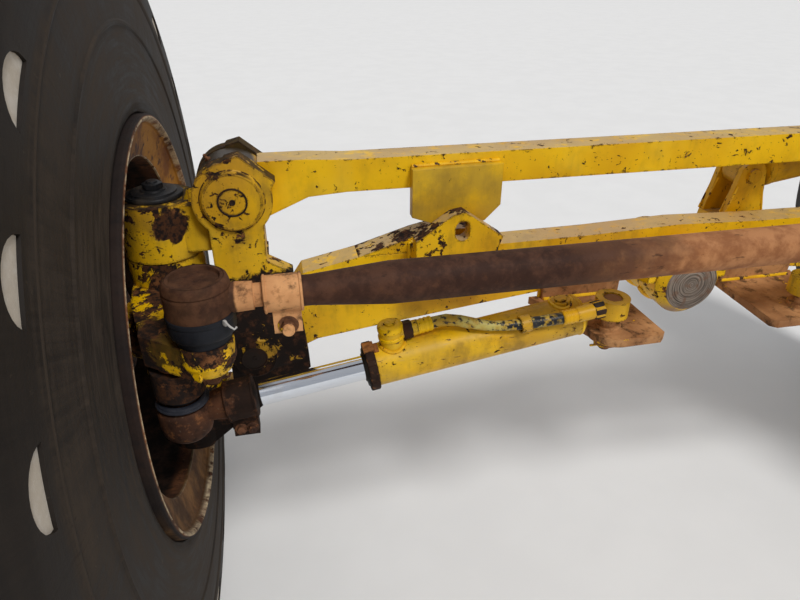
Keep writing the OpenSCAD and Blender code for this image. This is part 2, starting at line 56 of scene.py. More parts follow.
import bmesh
import bpy
from bpy.props import FloatProperty, FloatVectorProperty, PointerProperty
from mathutils import Matrix, Vector

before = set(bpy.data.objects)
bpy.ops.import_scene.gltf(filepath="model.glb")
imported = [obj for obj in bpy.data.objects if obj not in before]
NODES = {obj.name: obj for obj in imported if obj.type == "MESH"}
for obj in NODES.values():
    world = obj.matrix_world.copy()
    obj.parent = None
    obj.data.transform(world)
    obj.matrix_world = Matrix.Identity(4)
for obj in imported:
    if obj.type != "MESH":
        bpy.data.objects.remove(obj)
CAD_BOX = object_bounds()
MM = 0.001
SIDES = (("left", -1), ("right", 1))


def middle(node):
    low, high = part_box(node)
    return (Vector(low) + Vector(high)) / 2


# height of the wheel centres in the frame, and distance of the wheels' middle planes
HUB_Z = middle("left_hub").z
WHEEL_X = middle("right_tyre").x / MM
# balls and pins, for the right-hand side, in millimetres with heights from the wheel centres
KINGPIN = Vector((894, 0, 0))
TIE_BALL = Vector((825, -210, 155))
ROD_EYE = Vector((878, -175, -50))
ROD_BASE = Vector((188, -150, 40))
LEAN_BASE = Vector((185, 72, 178))
LEAN_EYE = Vector((630, 72, 248))
LEAN_PIN_X = 777
UPPER_Z = 231
LOWER_Z = -45
PIVOT_Z = 30
# radii of the steering cylinder's barrel and of its hose
BARREL_R = 33
HOSE_R = 9.5


# Sizes and colours that a user may change


def colour(name, description, value):
    return FloatVectorProperty(
        name=name, description=description, subtype="COLOR", size=3, min=0, max=1, default=value
    )


def angle(name, description, degrees):
    return FloatProperty(
        name=name, description=description, subtype="ANGLE", default=math.radians(degrees)
    )


class PaintSettings(bpy.types.PropertyGroup):
    yellow: colour("Yellow", "Fresh yellow paint", (0.90, 0.53, 0.002))
    deep: colour("Deep yellow", "Yellow paint where it is thick or stained", (0.66, 0.33, 0.002))
    faded: colour("Faded yellow", "Yellow paint where the sun has faded it", (0.80, 0.52, 0.045))
    soot: colour("Grime", "Grease and dirt on the paint", (0.085, 0.048, 0.014))
    rust: colour("Rust", "Brown rust in the chips", (0.070, 0.026, 0.009))
    rust_light: colour("Light rust", "Dusty orange rust", (0.27, 0.105, 0.035))
    rust_dark: colour("Dark rust", "Old rust, nearly black", (0.013, 0.007, 0.005))
    sand: colour("Sand", "Pale dust from the yard", (0.38, 0.29, 0.19))
    chips: FloatProperty(
        name="Chips", description="How much of the paint is chipped", subtype="FACTOR",
        default=1.0, min=0, max=2,
    )


class RubberSettings(bpy.types.PropertyGroup):
    tyre: colour("Tyre", "Rubber of the tyres", (0.013, 0.010, 0.008))
    dust: colour("Tyre dust", "Dust on the rubber", (0.052, 0.038, 0.027))
    boot: colour("Boots", "Rubber of boots and hoses", (0.007, 0.008, 0.011))


class StageSettings(bpy.types.PropertyGroup):
    floor: colour("Floor", "Plain pale floor", (0.80, 0.79, 0.77))
    lens: FloatProperty(
        name="Lens", description="Focal length of the camera", default=27.03, min=10, max=200, unit="CAMERA"
    )
    pitch: angle("Pitch", "How far the camera looks down", 29.4)
    turn: angle("Turn", "How far the camera is turned to the right", 11.64)
    place: FloatVectorProperty(
        name="Camera", description="Where the camera stands", default=(-0.7057, -0.9249, 0.5065),
        subtype="TRANSLATION", unit="LENGTH",
    )


# Making materials


class Finish:
    """One material, with short calls for the nodes that these finishes use."""

    def __init__(self, name):
        self.material = bpy.data.materials.new(name)
        self.material.use_nodes = True
        self.tree = self.material.node_tree
        self.tree.nodes.clear()
        out = self.tree.nodes.new("ShaderNodeOutputMaterial")
        self.surface = self.tree.nodes.new("ShaderNodeBsdfPrincipled")
        self.tree.links.new(self.surface.outputs[0], out.inputs[0])
        self.place = self.node("ShaderNodeTexCoord").outputs["Object"]

    def put(self, socket, value):
        if isinstance(value, bpy.types.NodeSocket):
            self.tree.links.new(value, socket)
        elif hasattr(value, "__len__"):
            value = list(value)
            opaque = len(value) == 3 and len(socket.default_value) == 4
            socket.default_value = value + [1.0] if opaque else value
        else:
            socket.default_value = value

    def node(self, kind, inputs=None, **settings):
        made = self.tree.nodes.new(kind)
        for key, value in settings.items():
            setattr(made, key, value)
        for key, value in (inputs or {}).items():
            self.put(made.inputs[key], value)
        return made

    def sum(self, kind, a, b=0.0, clamp=False):
        return self.node("ShaderNodeMath", {0: a, 1: b}, operation=kind, use_clamp=clamp).outputs[0]

    def plus(self, *values):
        total = values[0]
        for value in values[1:]:
            total = self.sum("ADD", total, value)
        return total

    def times(self, *values):
        total = values[0]
        for value in values[1:]:
            total = self.sum("MULTIPLY", total, value)
        return total

    def less(self, a, b):
        return self.sum("SUBTRACT", a, b)

    def most(self, a, b):
        return self.sum("MAXIMUM", a, b)

    def across(self, a, b):
        """The distance that two legs at right angles span."""
        return self.sum("SQRT", self.plus(self.times(a, a), self.times(b, b)))

    def vector(self, x, y, z):
        return self.node("ShaderNodeCombineXYZ", {0: x, 1: y, 2: z}).outputs[0]

    def mix(self, share, a, b):
        """A colour between two others."""
        return self.node("ShaderNodeMix", {"Factor": share, 6: a, 7: b}, data_type="RGBA").outputs[2]

    def blend(self, share, a, b):
        """A number between two others."""
        return self.node("ShaderNodeMix", {"Factor": share, 2: a, 3: b}, data_type="FLOAT").outputs[0]

    def noise(self, scale, detail=6, rough=0.66, at=None, distortion=0.0):
        inputs = {"Vector": at or self.place, "Scale": scale, "Detail": detail}
        inputs.update({"Roughness": rough, "Distortion": distortion})
        return self.node("ShaderNodeTexNoise", inputs).outputs["Fac"]

    def stretched(self, by, **noise):
        """Noise drawn out by a factor along each axis."""
        at = self.node("ShaderNodeMapping", {"Vector": self.place, "Scale": by}).outputs[0]
        return self.noise(at=at, **noise)

    def step(self, value, low, high):
        """0 below low and 1 above high, or the other way round where low is the larger."""
        flip = low > high
        inputs = {"Value": value, "From Min": min(low, high), "From Max": max(low, high)}
        inputs.update({"To Min": float(flip), "To Max": float(not flip)})
        return self.node("ShaderNodeMapRange", inputs, interpolation_type="SMOOTHSTEP").outputs["Result"]

    def spots(self, scale, low, high, *noise, **more):
        """Patches of noise, by the two levels of a step."""
        return self.step(self.noise(scale, *noise, **more), low, high)

    def size_step(self, value, low, high):
        """A step between two sizes in millimetres."""
        return self.step(value, low * MM, high * MM)

    def band(self, value, low, high, soft):
        """1 between two sizes in millimetres, with soft edges."""
        return self.times(self.size_step(value, low - soft, low), self.size_step(value, high + soft, high))

    def jag(self, scale, size, *noise, **more):
        """A shift in metres that makes an edge ragged."""
        return self.times(self.less(self.noise(scale, *noise, **more), 0.5), size)

    def axis(self, which):
        return self.node("ShaderNodeSeparateXYZ", {0: self.place}).outputs[which]

    def sideways(self, which="X"):
        """Distance from the middle along an axis, the same on both sides."""
        return self.sum("ABSOLUTE", self.axis(which))

    def up(self):
        """Height over the wheel centres."""
        return self.less(self.axis("Z"), HUB_Z)

    def height(self, low, high):
        """0 to 1 between two heights in millimetres over the wheel centres."""
        return self.step(self.axis("Z"), HUB_Z + low * MM, HUB_Z + high * MM)

    def on_top(self):
        """1 where the surface faces up."""
        normal = self.node("ShaderNodeNewGeometry").outputs["Normal"]
        return self.step(self.node("ShaderNodeSeparateXYZ", {0: normal}).outputs["Z"], 0.5, 0.8)

    def wheel(self):
        """Radius in the wheel, distance from its middle plane towards the outside, and angle round it."""
        radius = self.across(self.axis("Y"), self.up())
        out = self.less(self.sideways(), WHEEL_X * MM)
        return radius, out, self.sum("ARCTAN2", self.up(), self.axis("Y"))

    def away(self, point):
        """Distance from a place given in millimetres, the same on both sides of the axle."""
        folded = self.vector(self.sideways(), self.axis("Y"), self.axis("Z"))
        target = [point[0] * MM, point[1] * MM, HUB_Z + point[2] * MM]
        pair = {0: folded, 1: target}
        return self.node("ShaderNodeVectorMath", pair, operation="DISTANCE").outputs["Value"]

    def near(self, point, radius, ragged=0.5, scale=30.0):
        """1 round a place with a ragged edge, on both sides of the axle."""
        jag = self.jag(scale, radius * MM * 4 * ragged, rough=0.65)
        return self.size_step(self.plus(self.away(point), jag), radius * 1.06, radius * 0.9)

    def rounded(self, radius=2.0):
        """Normals with edges rounded off."""
        return self.node("ShaderNodeBevel", {"Radius": radius * MM}, samples=4).outputs[0]

    def edges(self, radius):
        """1 on edges, 0 on flats, from rounded normals."""
        pair = {0: self.rounded(radius), 1: self.node("ShaderNodeNewGeometry").outputs["Normal"]}
        dot = self.node("ShaderNodeVectorMath", pair, operation="DOT_PRODUCT").outputs["Value"]
        return self.sum("SUBTRACT", 1.0, dot, clamp=True)

    def bump(self, height, depth, strength, under=None):
        """Relief in millimetres, over the normals of a finer one."""
        inputs = {"Height": height, "Distance": depth * MM, "Strength": strength}
        if under is not None:
            inputs["Normal"] = under
        return self.node("ShaderNodeBump", inputs).outputs[0]

    def finish(self, **inputs):
        for key, value in inputs.items():
            self.put(self.surface.inputs[key.replace("_", " ")], value)
        return self.material


def rust_colour(f, paint):
    """Brown rust with dark and dusty orange places."""
    base = f.mix(f.spots(22, 0.50, 0.72, 6, 0.64), paint.rust, paint.rust_light)
    return f.mix(f.spots(120, 0.56, 0.42, 6, 0.68), base, paint.rust_dark)


def chipped(f, chips):
    """Where the paint is off: chips gather in places and along the edges."""
    edge = f.step(f.edges(7), 0.012, 0.20)
    gather = f.spots(11, 0.38, 0.62, 3, 0.5)
    crowd = f.plus(f.times(gather, 0.11 * chips), f.times(edge, 0.20 * chips))
    spots = f.plus(f.noise(64, 8, 0.66, distortion=0.5), crowd)
    specks = f.plus(f.noise(250, 4, 0.6), f.times(crowd, 0.7))
    large = f.step(spots, 0.676 - 0.05 * chips, 0.690 - 0.05 * chips)
    return f.most(large, f.step(specks, 0.715 - 0.02 * chips, 0.730 - 0.02 * chips))


def scratched(f, painted, scratch, paint):
    """Rusty and dusty lines along a cylinder's barrel."""
    lines = f.step(f.stretched((1.0, 1.0, 7.0), scale=30, detail=7, rough=0.7), 0.63, 0.68)
    painted = f.mix(f.times(lines, scratch), painted, paint.rust)
    fine_lines = f.step(f.stretched((0.08, 1.0, 1.0), scale=420, detail=4, rough=0.6), 0.60, 0.70)
    return f.mix(f.times(fine_lines, 0.22 * scratch), painted, paint.sand)


def darkened(f, shade, bare, dark, paint):
    """Greasy rust round some places, partly painted shade, with paint left in islands."""
    black = 0.0
    for point, radius, share in dark:
        black = f.most(black, f.times(f.near(point, radius, 0.7, 18), share))
    cover = f.times(black, f.spots(24, 0.60, 0.585, 8, 0.7, distortion=0.5))
    grease_and_shade = f.mix(f.spots(60, 0.45, 0.65), paint.rust_dark, paint.rust)
    return f.mix(cover, shade, grease_and_shade), f.most(bare, cover)


def worn_paint(
    name, chips, grime, rusty=0.0, patches=(), dark=(),
    dust_top=0.0, top_rust=0.0, scratch=0.0, film=0.0, extra=None,
):
    """Yellow paint over steel, chipped at the edges and in spots, with rust patches at the places given."""
    paint = bpy.context.scene.axle_paint
    f = Finish(name)
    coat = f.mix(f.spots(4.2, 0.36, 0.62, 4, 0.5), paint.deep, paint.yellow)
    coat = f.mix(f.times(f.spots(9, 0.50, 0.70, 5, 0.6), 0.35), coat, paint.faded)
    runs = f.stretched((1.0, 1.0, 0.2), scale=46, detail=6, rough=0.64)
    stain = f.plus(f.times(f.noise(19, 6, 0.62), 0.6), f.times(runs, 0.4))
    dirt = f.times(f.step(stain, 0.46, 0.68), grime)
    bare = chipped(f, chips * paint.chips)
    if rusty:
        sheet = f.plus(f.noise(13, 8, 0.68, distortion=0.4), 0.3 * rusty)
        bare = f.most(bare, f.step(sheet, 0.655, 0.675))
    for point, radius in patches:
        bare = f.most(bare, f.near(point, radius))
    if top_rust:
        crust = f.plus(f.times(f.on_top(), 0.2 * top_rust), f.noise(34, 7))
        bare = f.most(bare, f.step(crust, 0.60, 0.63))
    painted = f.mix(dirt, coat, paint.soot)
    # painted shade: film lays patches of the olive yellow that the paint shows in shade
    if film:
        painted = f.mix(f.times(f.spots(12, 0.30, 0.62, 6, 0.64), film), painted, (0.34, 0.21, 0.035))
    if scratch:
        painted = scratched(f, painted, scratch, paint)
    if dust_top:
        painted = f.mix(f.times(f.on_top(), dust_top, f.spots(40, 0.30, 0.50, 7)), painted, paint.sand)
    shade = f.mix(bare, painted, rust_colour(f, paint))
    if dark:
        shade, bare = darkened(f, shade, bare, dark, paint)
    if extra:
        shade, bare = extra(f, shade, bare)
    grain = f.bump(f.noise(380, 4, 0.6), 0.22, 0.5, under=f.rounded())
    sunk = f.times(f.plus(bare, f.times(f.noise(150, 5, 0.7), bare)), -0.5)
    return f.finish(
        Base_Color=shade,
        Roughness=f.blend(bare, f.blend(dirt, 0.42, 0.7), 0.9),
        Specular_IOR_Level=0.24,
        Normal=f.bump(sunk, 1.1, 0.9, under=grain),
    )


def bare_rust(name, light, dark, left_yellow=0.0, scale=1.0, smooth=0.66, pits=0.8, extra=None):
    """Rusted steel, with remains of paint."""
    paint = bpy.context.scene.axle_paint
    f = Finish(name)
    base = f.mix(f.spots(7 * scale, 0.38, 0.64, 6, 0.62), dark, light)
    mottle = f.noise(42 * scale, 7, 0.68)
    base = f.mix(f.times(f.step(mottle, 0.50, 0.66), 0.75), base, paint.rust_dark)
    base = f.mix(f.times(f.spots(75 * scale, 0.54, 0.68), 0.55), base, paint.rust_light)
    fine = f.noise(190 * scale, 6, 0.7)
    base = f.mix(f.times(f.step(fine, 0.58, 0.72), 0.22), base, paint.sand)
    if left_yellow:
        edge = f.times(f.step(f.edges(6), 0.01, 0.2), 0.05)
        flakes = f.plus(f.noise(20, 8, 0.7, distortion=0.6), edge)
        level = 0.72 - 0.2 * left_yellow
        base = f.mix(f.step(flakes, level, level + 0.015), base, paint.yellow)
    if extra:
        base = extra(f, base)
    grain = f.bump(f.noise(330, 5, 0.65), 0.3, 0.7, under=f.rounded())
    return f.finish(
        Base_Color=base,
        Roughness=f.blend(fine, smooth - 0.1, smooth + 0.25),
        Specular_IOR_Level=0.12,
        Normal=f.bump(mottle, pits, 0.7, under=grain),
    )


def plain(name, shade, dust, rough=0.5, metal=0.0, scale=60, relief=0.25):
    """One colour with a film of dust and a fine grain."""
    f = Finish(name)
    film = f.times(f.spots(scale * 0.4, 0.40, 0.70, 6, 0.64), 0.65)
    base = f.mix(film, shade, dust)
    base = f.mix(f.times(f.spots(scale * 4, 0.58, 0.72, 5), 0.5), base, dust)
    return f.finish(
        Base_Color=base,
        Roughness=f.blend(film, rough, min(rough + 0.25, 1.0)),
        Metallic=metal,
        Specular_IOR_Level=0.2,
        Normal=f.bump(f.noise(scale * 6, 4, 0.6), relief, 0.6, under=f.rounded(1.2)),
    )


def rod_chrome(name):
    """Hard chrome with streaks along the rod and a little dust."""
    f = Finish(name)
    streak = f.stretched((0.05, 1.0, 1.0), scale=300, detail=5, rough=0.6)
    film = f.times(f.spots(18, 0.48, 0.76, 6, 0.62), 0.22)
    lines = f.times(f.step(streak, 0.56, 0.68), 0.3)
    shade = f.mix(lines, (0.72, 0.75, 0.80), (0.36, 0.42, 0.55))
    return f.finish(
        Base_Color=f.mix(film, shade, bpy.context.scene.axle_paint.sand),
        Metallic=1.0,
        Roughness=f.plus(f.times(streak, 0.22), f.times(film, 0.6)),
    )


# radii on the tyre's wall, in millimetres: brushed rubber ends, rib, scuffs begin, shoulder begins
BRUSHED_R = (470, 462)
RIB_R = (542.5, 547.5)
SCUFFED_R = (480, 500)
SHOULDER_R = (553, 563)


def tyre_rubber(name):
    """Dusty rubber: brushed near the bead, scuffed on the wall, dark at the shoulder as painted shade."""
    paint, rubber = bpy.context.scene.axle_paint, bpy.context.scene.axle_rubber
    f = Finish(name)
    radius, out, turn = f.wheel()
    rings = f.noise(9, 6, 0.66, at=f.vector(f.times(radius, 16.0), f.times(turn, 0.45), out))
    scuffs = f.noise(5, 7, 0.68, at=f.vector(f.times(radius, 1.2), f.times(turn, 14.0), out))
    cloud = f.times(f.noise(11, 7, 0.64), 0.4)
    scuffed = f.plus(f.times(scuffs, 0.35), f.times(rings, 0.25), cloud)
    brushed = f.plus(f.times(rings, 0.6), cloud)
    share = f.step(f.blend(f.size_step(radius, *BRUSHED_R), scuffed, brushed), 0.36, 0.66)
    # painted shade: less dust beyond the start of the shoulder makes the shoulder dark
    share = f.times(share, f.blend(f.size_step(radius, *SHOULDER_R), 1.0, 0.25))
    share = f.most(share, f.times(f.band(radius, *RIB_R, 1.2), 0.8))
    base = f.mix(share, rubber.tyre, rubber.dust)
    base = f.mix(f.times(f.spots(170, 0.56, 0.72, 6, 0.7), 0.55), base, rubber.tyre)
    base = f.mix(f.times(f.spots(60, 0.64, 0.74, 7, 0.7), 0.15), base, paint.sand)
    crease = f.times(f.step(scuffs, 0.60, 0.68), f.size_step(radius, *SCUFFED_R))
    base = f.mix(f.times(crease, 0.5), base, rubber.tyre)
    grain = f.bump(f.noise(420, 5, 0.65), 0.3, 0.6)
    swell = f.plus(f.noise(26, 4, 0.6), f.times(rings, 0.5))
    return f.finish(
        Base_Color=base,
        Roughness=f.blend(share, 0.6, 0.92),
        Specular_IOR_Level=0.16,
        Normal=f.bump(swell, 1.2, 0.5, under=grain),
    )


# the rim's bands by radius, and by distance from the wheel's middle plane towards the outside, in millimetres
DISH_R = (283, 330)
LIP_R = (331.5, 338)
CURL_R = (338.5, 341)
MOUTH_R = (279.0, 281.2)
MOUTH_OUT = (-143.5, -138.5)
WELL_R = (281.5, 279.5)
WELL_OUT = (-126, -110)
DISH_OUT = (-160, -138)


def rim_bands(f, shade):
    """Dark curl, pale chipped lips, orange dish made stronger towards the top as painted light, black inside
    as painted shade, and dirty low down.
    """
    radius, out, _ = f.wheel()
    jag = f.jag(60, 0.012)
    orange = f.mix(f.spots(12, 0.40, 0.60, 7), (0.17, 0.060, 0.012), (0.40, 0.175, 0.018))
    # painted light: the orange in the dish grows stronger from the bottom to the top
    painted_top_light = f.plus(0.15, f.times(f.height(-160, 200), 0.75))
    dish = f.times(f.band(f.plus(radius, jag), *DISH_R, 3), painted_top_light, f.spots(30, 0.62, 0.56, 8, 0.7))
    shade = f.mix(dish, shade, orange)
    pale = f.mix(f.spots(90, 0.4, 0.6, 5), bpy.context.scene.axle_paint.sand, (0.72, 0.58, 0.36))
    mouth = f.times(f.band(radius, *MOUTH_R, 0.8), f.band(out, *MOUTH_OUT, 1.5))
    lip = f.times(f.most(f.band(radius, *LIP_R, 1.5), mouth), f.spots(44, 0.60, 0.46, 7, 0.68))
    shade = f.mix(f.times(lip, 0.6), shade, pale)
    curl = f.mix(f.noise(50), (0.006, 0.005, 0.006), (0.024, 0.018, 0.015))
    shade = f.mix(f.times(f.size_step(radius, *CURL_R), 0.95), shade, curl)
    # painted shade: the rim's inside beyond its mouth is made near-black
    shaded_well = f.times(f.size_step(f.plus(out, jag), *WELL_OUT), f.size_step(radius, *WELL_R))
    shade = f.mix(shaded_well, shade, f.mix(f.spots(40, 0.4, 0.70), (0.006, 0.004, 0.003), (0.032, 0.016, 0.010)))
    mud = f.mix(f.spots(16, 0.40, 0.66, 7), (0.045, 0.022, 0.009), (0.20, 0.100, 0.034))
    low = f.times(f.band(out, *DISH_OUT, 4), f.height(-60, -190))
    return f.mix(f.times(low, 0.75), shade, mud)


def tube_sun_and_shade(f, shade):
    """The tie rod turns from purple-brown to orange-brown towards its middle: painted shade at its ends and
    painted sunlight in its middle.
    """
    orange = f.mix(f.spots(30, 0.38, 0.62, 7, 0.68), (0.30, 0.115, 0.042), (0.50, 0.225, 0.090))
    purple = f.mix(f.spots(36, 0.40, 0.64, 7, 0.68), (0.036, 0.015, 0.009), (0.082, 0.035, 0.019))
    inner = f.size_step(f.plus(f.sideways(), f.jag(9, 0.5)), 340, 100)
    shade = f.mix(0.82, shade, f.mix(inner, purple, orange))
    scale_line = f.step(f.stretched((0.25, 1.0, 1.0), scale=70, detail=7, rough=0.7), 0.62, 0.68)
    return f.mix(f.times(scale_line, 0.6), shade, (0.022, 0.011, 0.008))


def pivot_face(f, shade, bare):
    """The pivot's worn steel face with turned rings, and its chipped rim."""
    up = f.less(f.axis("Z"), HUB_Z + PIVOT_Z * MM)
    radius = f.across(up, f.axis("X"))
    flat = f.times(f.size_step(f.sideways("Y"), 95.5, 96.2), f.size_step(radius, 50.5, 48.5))
    turned = f.vector(f.times(radius, 160.0), f.times(f.axis("X"), 6.0), f.times(up, 6.0))
    rings = f.step(f.noise(3.2, 6, 0.62, at=turned), 0.36, 0.64)
    steel = f.mix(rings, (0.085, 0.066, 0.052), (0.34, 0.275, 0.215))
    steel = f.mix(f.times(f.spots(60, 0.52, 0.66), 0.6), steel, (0.20, 0.09, 0.045))
    below = f.times(f.height(8, -24), f.size_step(f.sideways("Y"), 50, 56), f.spots(40, 0.66, 0.56, 7))
    shade = f.mix(f.times(below, 0.9), shade, f.mix(f.noise(70), (0.10, 0.045, 0.022), (0.34, 0.18, 0.10)))
    return f.mix(flat, shade, steel), f.most(bare, f.times(flat, 0.6))


def yoke_dirt_and_shade(f, shade, bare):
    """Grease and rust on the rear of the yoke's lower half, its top and the head of its front plate, made
    near-black partly as painted shade.
    """
    ragged = f.plus(f.up(), f.jag(26, 0.06, 8, 0.7, distortion=0.6))
    islands = f.times(f.band(ragged, -60, 12, 4), f.spots(19, 0.535, 0.550, 8, 0.7, distortion=0.4))
    rear = f.size_step(f.axis("Y"), 20, -20)
    cover = f.times(f.size_step(ragged, 112, 106), f.less(1.0, islands), rear)
    top = f.times(f.on_top(), f.height(200, 214), f.spots(40, 0.62, 0.52, 7))
    front = f.times(f.size_step(f.axis("Y"), 20, 24), f.height(222, 236))
    cover = f.most(cover, f.times(f.most(top, front), 0.94))
    grease_and_shade = f.mix(f.spots(52, 0.50, 0.68, 7, 0.68), (0.011, 0.006, 0.004), (0.075, 0.028, 0.011))
    return f.mix(cover, shade, grease_and_shade), f.most(bare, cover)


def bar_eye(f, shade, bare):
    """The lean bar's ends are black round their eyes: grease, and painted shade where the eyes sit between
    the yoke's ears.
    """
    eye = f.size_step(f.plus(f.sideways(), f.jag(40, 0.012)), 738, 746)
    grease_and_shade = f.mix(f.noise(60), (0.006, 0.006, 0.006), (0.040, 0.028, 0.020))
    return f.mix(f.times(eye, 0.96), shade, grease_and_shade), bare


def socket_shade(f, shade):
    """The tie rod's ball socket is darker than its neck."""
    ball = f.size_step(f.plus(f.away(TIE_BALL), f.jag(40, 0.006)), 53.5, 50)
    outer = f.size_step(f.sideways(), TIE_BALL.x - 46, TIE_BALL.x - 42)
    brown = f.mix(f.spots(44, 0.38, 0.64, 7, 0.68), (0.030, 0.013, 0.009), (0.078, 0.033, 0.018))
    return f.mix(f.times(f.most(ball, outer), 0.95), shade, brown)


def rod_end_shade(f, shade):
    """The rod end's clamp is nearly black."""
    clamp = f.times(f.size_step(f.sideways(), 826, 812), f.spots(50, 0.66, 0.52))
    return f.mix(f.times(clamp, 0.9), shade, (0.012, 0.007, 0.005))


def rubber_hose(name):
    """Rubber with yellow over-spray near the gland."""
    f = Finish(name)
    film = f.times(f.spots(24, 0.42, 0.70, 6, 0.64), 0.5)
    shade = f.mix(film, bpy.context.scene.axle_rubber.boot, (0.07, 0.06, 0.05))
    x = f.plus(f.sideways(), f.jag(30, 0.09))
    thin = f.plus(f.noise(130), f.times(f.size_step(x, 440, 330), 0.10))
    spray = f.times(f.size_step(x, 285, 325), f.step(thin, 0.62, 0.50))
    yellow = f.mix(f.spots(60, 0.40, 0.62, 5, 0.6), (0.50, 0.29, 0.02), (0.56, 0.46, 0.12))
    return f.finish(
        Base_Color=f.mix(f.times(spray, 0.9), shade, yellow),
        Roughness=f.blend(film, 0.45, 0.8),
        Specular_IOR_Level=0.3,
        Normal=f.bump(f.noise(500, 4, 0.6), 0.2, 0.5),
    )


def weld_metal(name):
    """Weld beads under worn paint."""
    paint = bpy.context.scene.axle_paint
    f = Finish(name)
    coat = f.mix(f.spots(20, 0.36, 0.62, 4, 0.5), paint.deep, paint.yellow)
    bare = f.spots(60, 0.555, 0.58, 8, 0.68)
    return f.finish(
        Base_Color=f.mix(bare, coat, rust_colour(f, paint)),
        Roughness=f.blend(bare, 0.45, 0.85),
        Normal=f.bump(f.noise(300, 5, 0.65), 0.4, 0.7),
    )


MADE = {}
# rust patches of the yoke as place and radius, black places of the knuckle as place, radius and share; the
# black places are greasy rust and partly painted shade
YOKE_PATCHES = [((868, -56, 196), 27), ((845, -58, 150), 12)]
KNUCKLE_DARK = [((878, -175, 20), 62, 0.95), ((900, -120, 30), 52, 0.9), ((902, -192, 90), 58, 0.9)]


def makers():
    """What each finish is made by, and from what."""
    paint, rubber = bpy.context.scene.axle_paint, bpy.context.scene.axle_rubber
    # film sets how much painted shade lies in patches on each paint
    painted = {
        "plate paint": dict(chips=0.42, grime=0.35, dust_top=0.6),
        "bar paint": dict(chips=0.42, grime=0.22, dust_top=0.6, extra=bar_eye),
        "bracket paint": dict(chips=0.70, grime=0.45, top_rust=0.45, dust_top=0.7),
        "lock paint": dict(chips=0.08, grime=0.5, film=0.6),
        "yoke paint": dict(chips=0.85, grime=0.6, film=0.3, patches=YOKE_PATCHES, extra=yoke_dirt_and_shade),
        "pin paint": dict(chips=0.75, grime=0.55, film=0.4, extra=yoke_dirt_and_shade),
        "pivot paint": dict(chips=0.75, grime=0.45, extra=pivot_face),
        "knuckle paint": dict(chips=0.70, grime=0.60, rusty=0.55, dark=KNUCKLE_DARK),
        "cylinder paint": dict(chips=0.46, grime=0.62, scratch=1.0, film=0.42),
        "fitting paint": dict(chips=0.45, grime=0.6),
        "hub paint": dict(chips=0.7, grime=0.9, rusty=0.7),
    }
    # the tie rod's purple-brown ends and orange-brown middle are painted shade and painted sunlight
    tube = dict(smooth=0.55, pits=0.5, extra=tube_sun_and_shade)
    # light shade, dark shade, more
    rusted = {
        "wheel rust and painted light": ((0.20, 0.080, 0.034), (0.060, 0.025, 0.013), dict(extra=rim_bands)),
        "tube rust and painted light": ((0.14, 0.06, 0.035), (0.06, 0.027, 0.018), tube),
        # the light orange-brown on the tie end's neck is rust and partly painted sunlight
        "socket rust": ((0.78, 0.40, 0.17), (0.52, 0.235, 0.095), dict(extra=socket_shade)),
        "base rust": ((0.56, 0.29, 0.12), (0.28, 0.125, 0.050), dict(left_yellow=0.28)),
        "rod end rust": ((0.150, 0.058, 0.024), (0.045, 0.020, 0.012), dict(extra=rod_end_shade)),
        "gland rust": ((0.045, 0.020, 0.011), (0.010, 0.007, 0.006), {}),
        "bolt rust": ((0.26, 0.11, 0.05), (0.050, 0.024, 0.016), dict(left_yellow=0.35, scale=1.6)),
        "tab rust": ((0.50, 0.20, 0.05), (0.26, 0.10, 0.03), dict(left_yellow=0.3, scale=1.5)),
    }
    # shade, dust, more
    simple = {
        "dark steel": ((0.026, 0.017, 0.013), paint.rust, dict(rough=0.6, metal=0.3)),
        "black paint": ((0.010, 0.010, 0.011), (0.06, 0.045, 0.03), dict(rough=0.45)),
        "boot rubber": (rubber.boot, (0.020, 0.021, 0.026), {}),
        "seal rubber": ((0.020, 0.022, 0.030), (0.07, 0.07, 0.08), dict(rough=0.4)),
        "tie plastic": ((0.55, 0.53, 0.50), (0.30, 0.26, 0.22), {}),
        # the pale colour in the tyre's shoulder pockets is painted sunlight
        "painted sun in pockets": ((0.48, 0.42, 0.34), (0.62, 0.58, 0.52), dict(rough=0.95, scale=90, relief=0.6)),
    }
    others = {
        "hose rubber": rubber_hose, "weld": weld_metal, "chrome": rod_chrome, "tyre rubber": tyre_rubber,
    }
    made = {name: partial(worn_paint, name, **more) for name, more in painted.items()}
    made.update({name: partial(bare_rust, name, *shades, **more) for name, (*shades, more) in rusted.items()})
    made.update({name: partial(plain, name, *shades, **more) for name, (*shades, more) in simple.items()})
    made.update({name: partial(maker, name) for name, maker in others.items()})
    return made


def mat(name):
    """A finish by its name, made once."""
    if name not in MADE:
        MADE[name] = makers()[name]()
    return MADE[name]


# finishes by the names of the nodes, without the word for their side
FINISHES = {
    "axle_beam": "plate paint", "lean_lock_bracket": "bracket paint", "lean_cylinder_bracket": "plate paint",
    "rear_pivot_boss": "pivot paint", "front_pivot_boss": "pivot paint",
    "base_bracket": "base rust", "yoke": "yoke paint", "upper_pin": "pin paint", "lower_pin": "dark steel",
    "kingpin": "black paint", "lean_bar": "bar paint", "lean_lock_plate": "lock paint",
    "lean_rod_eye": "dark steel",
    "knuckle": "knuckle paint", "hub": "hub paint", "rim": "wheel rust and painted light", "tyre": "tyre rubber",
    "tie_boot": "boot rubber", "tie_end": "socket rust", "tie_rod_tube": "tube rust and painted light",
    "cylinder_barrel": "cylinder paint", "cylinder_gland": "gland rust", "cylinder_rod": "chrome",
    "rod_boot": "boot rubber", "rod_end": "rod end rust", "hose": "hose rubber",
    "lean_cylinder_barrel": "cylinder paint", "lean_cylinder_rod": "chrome",
}


# Making meshes


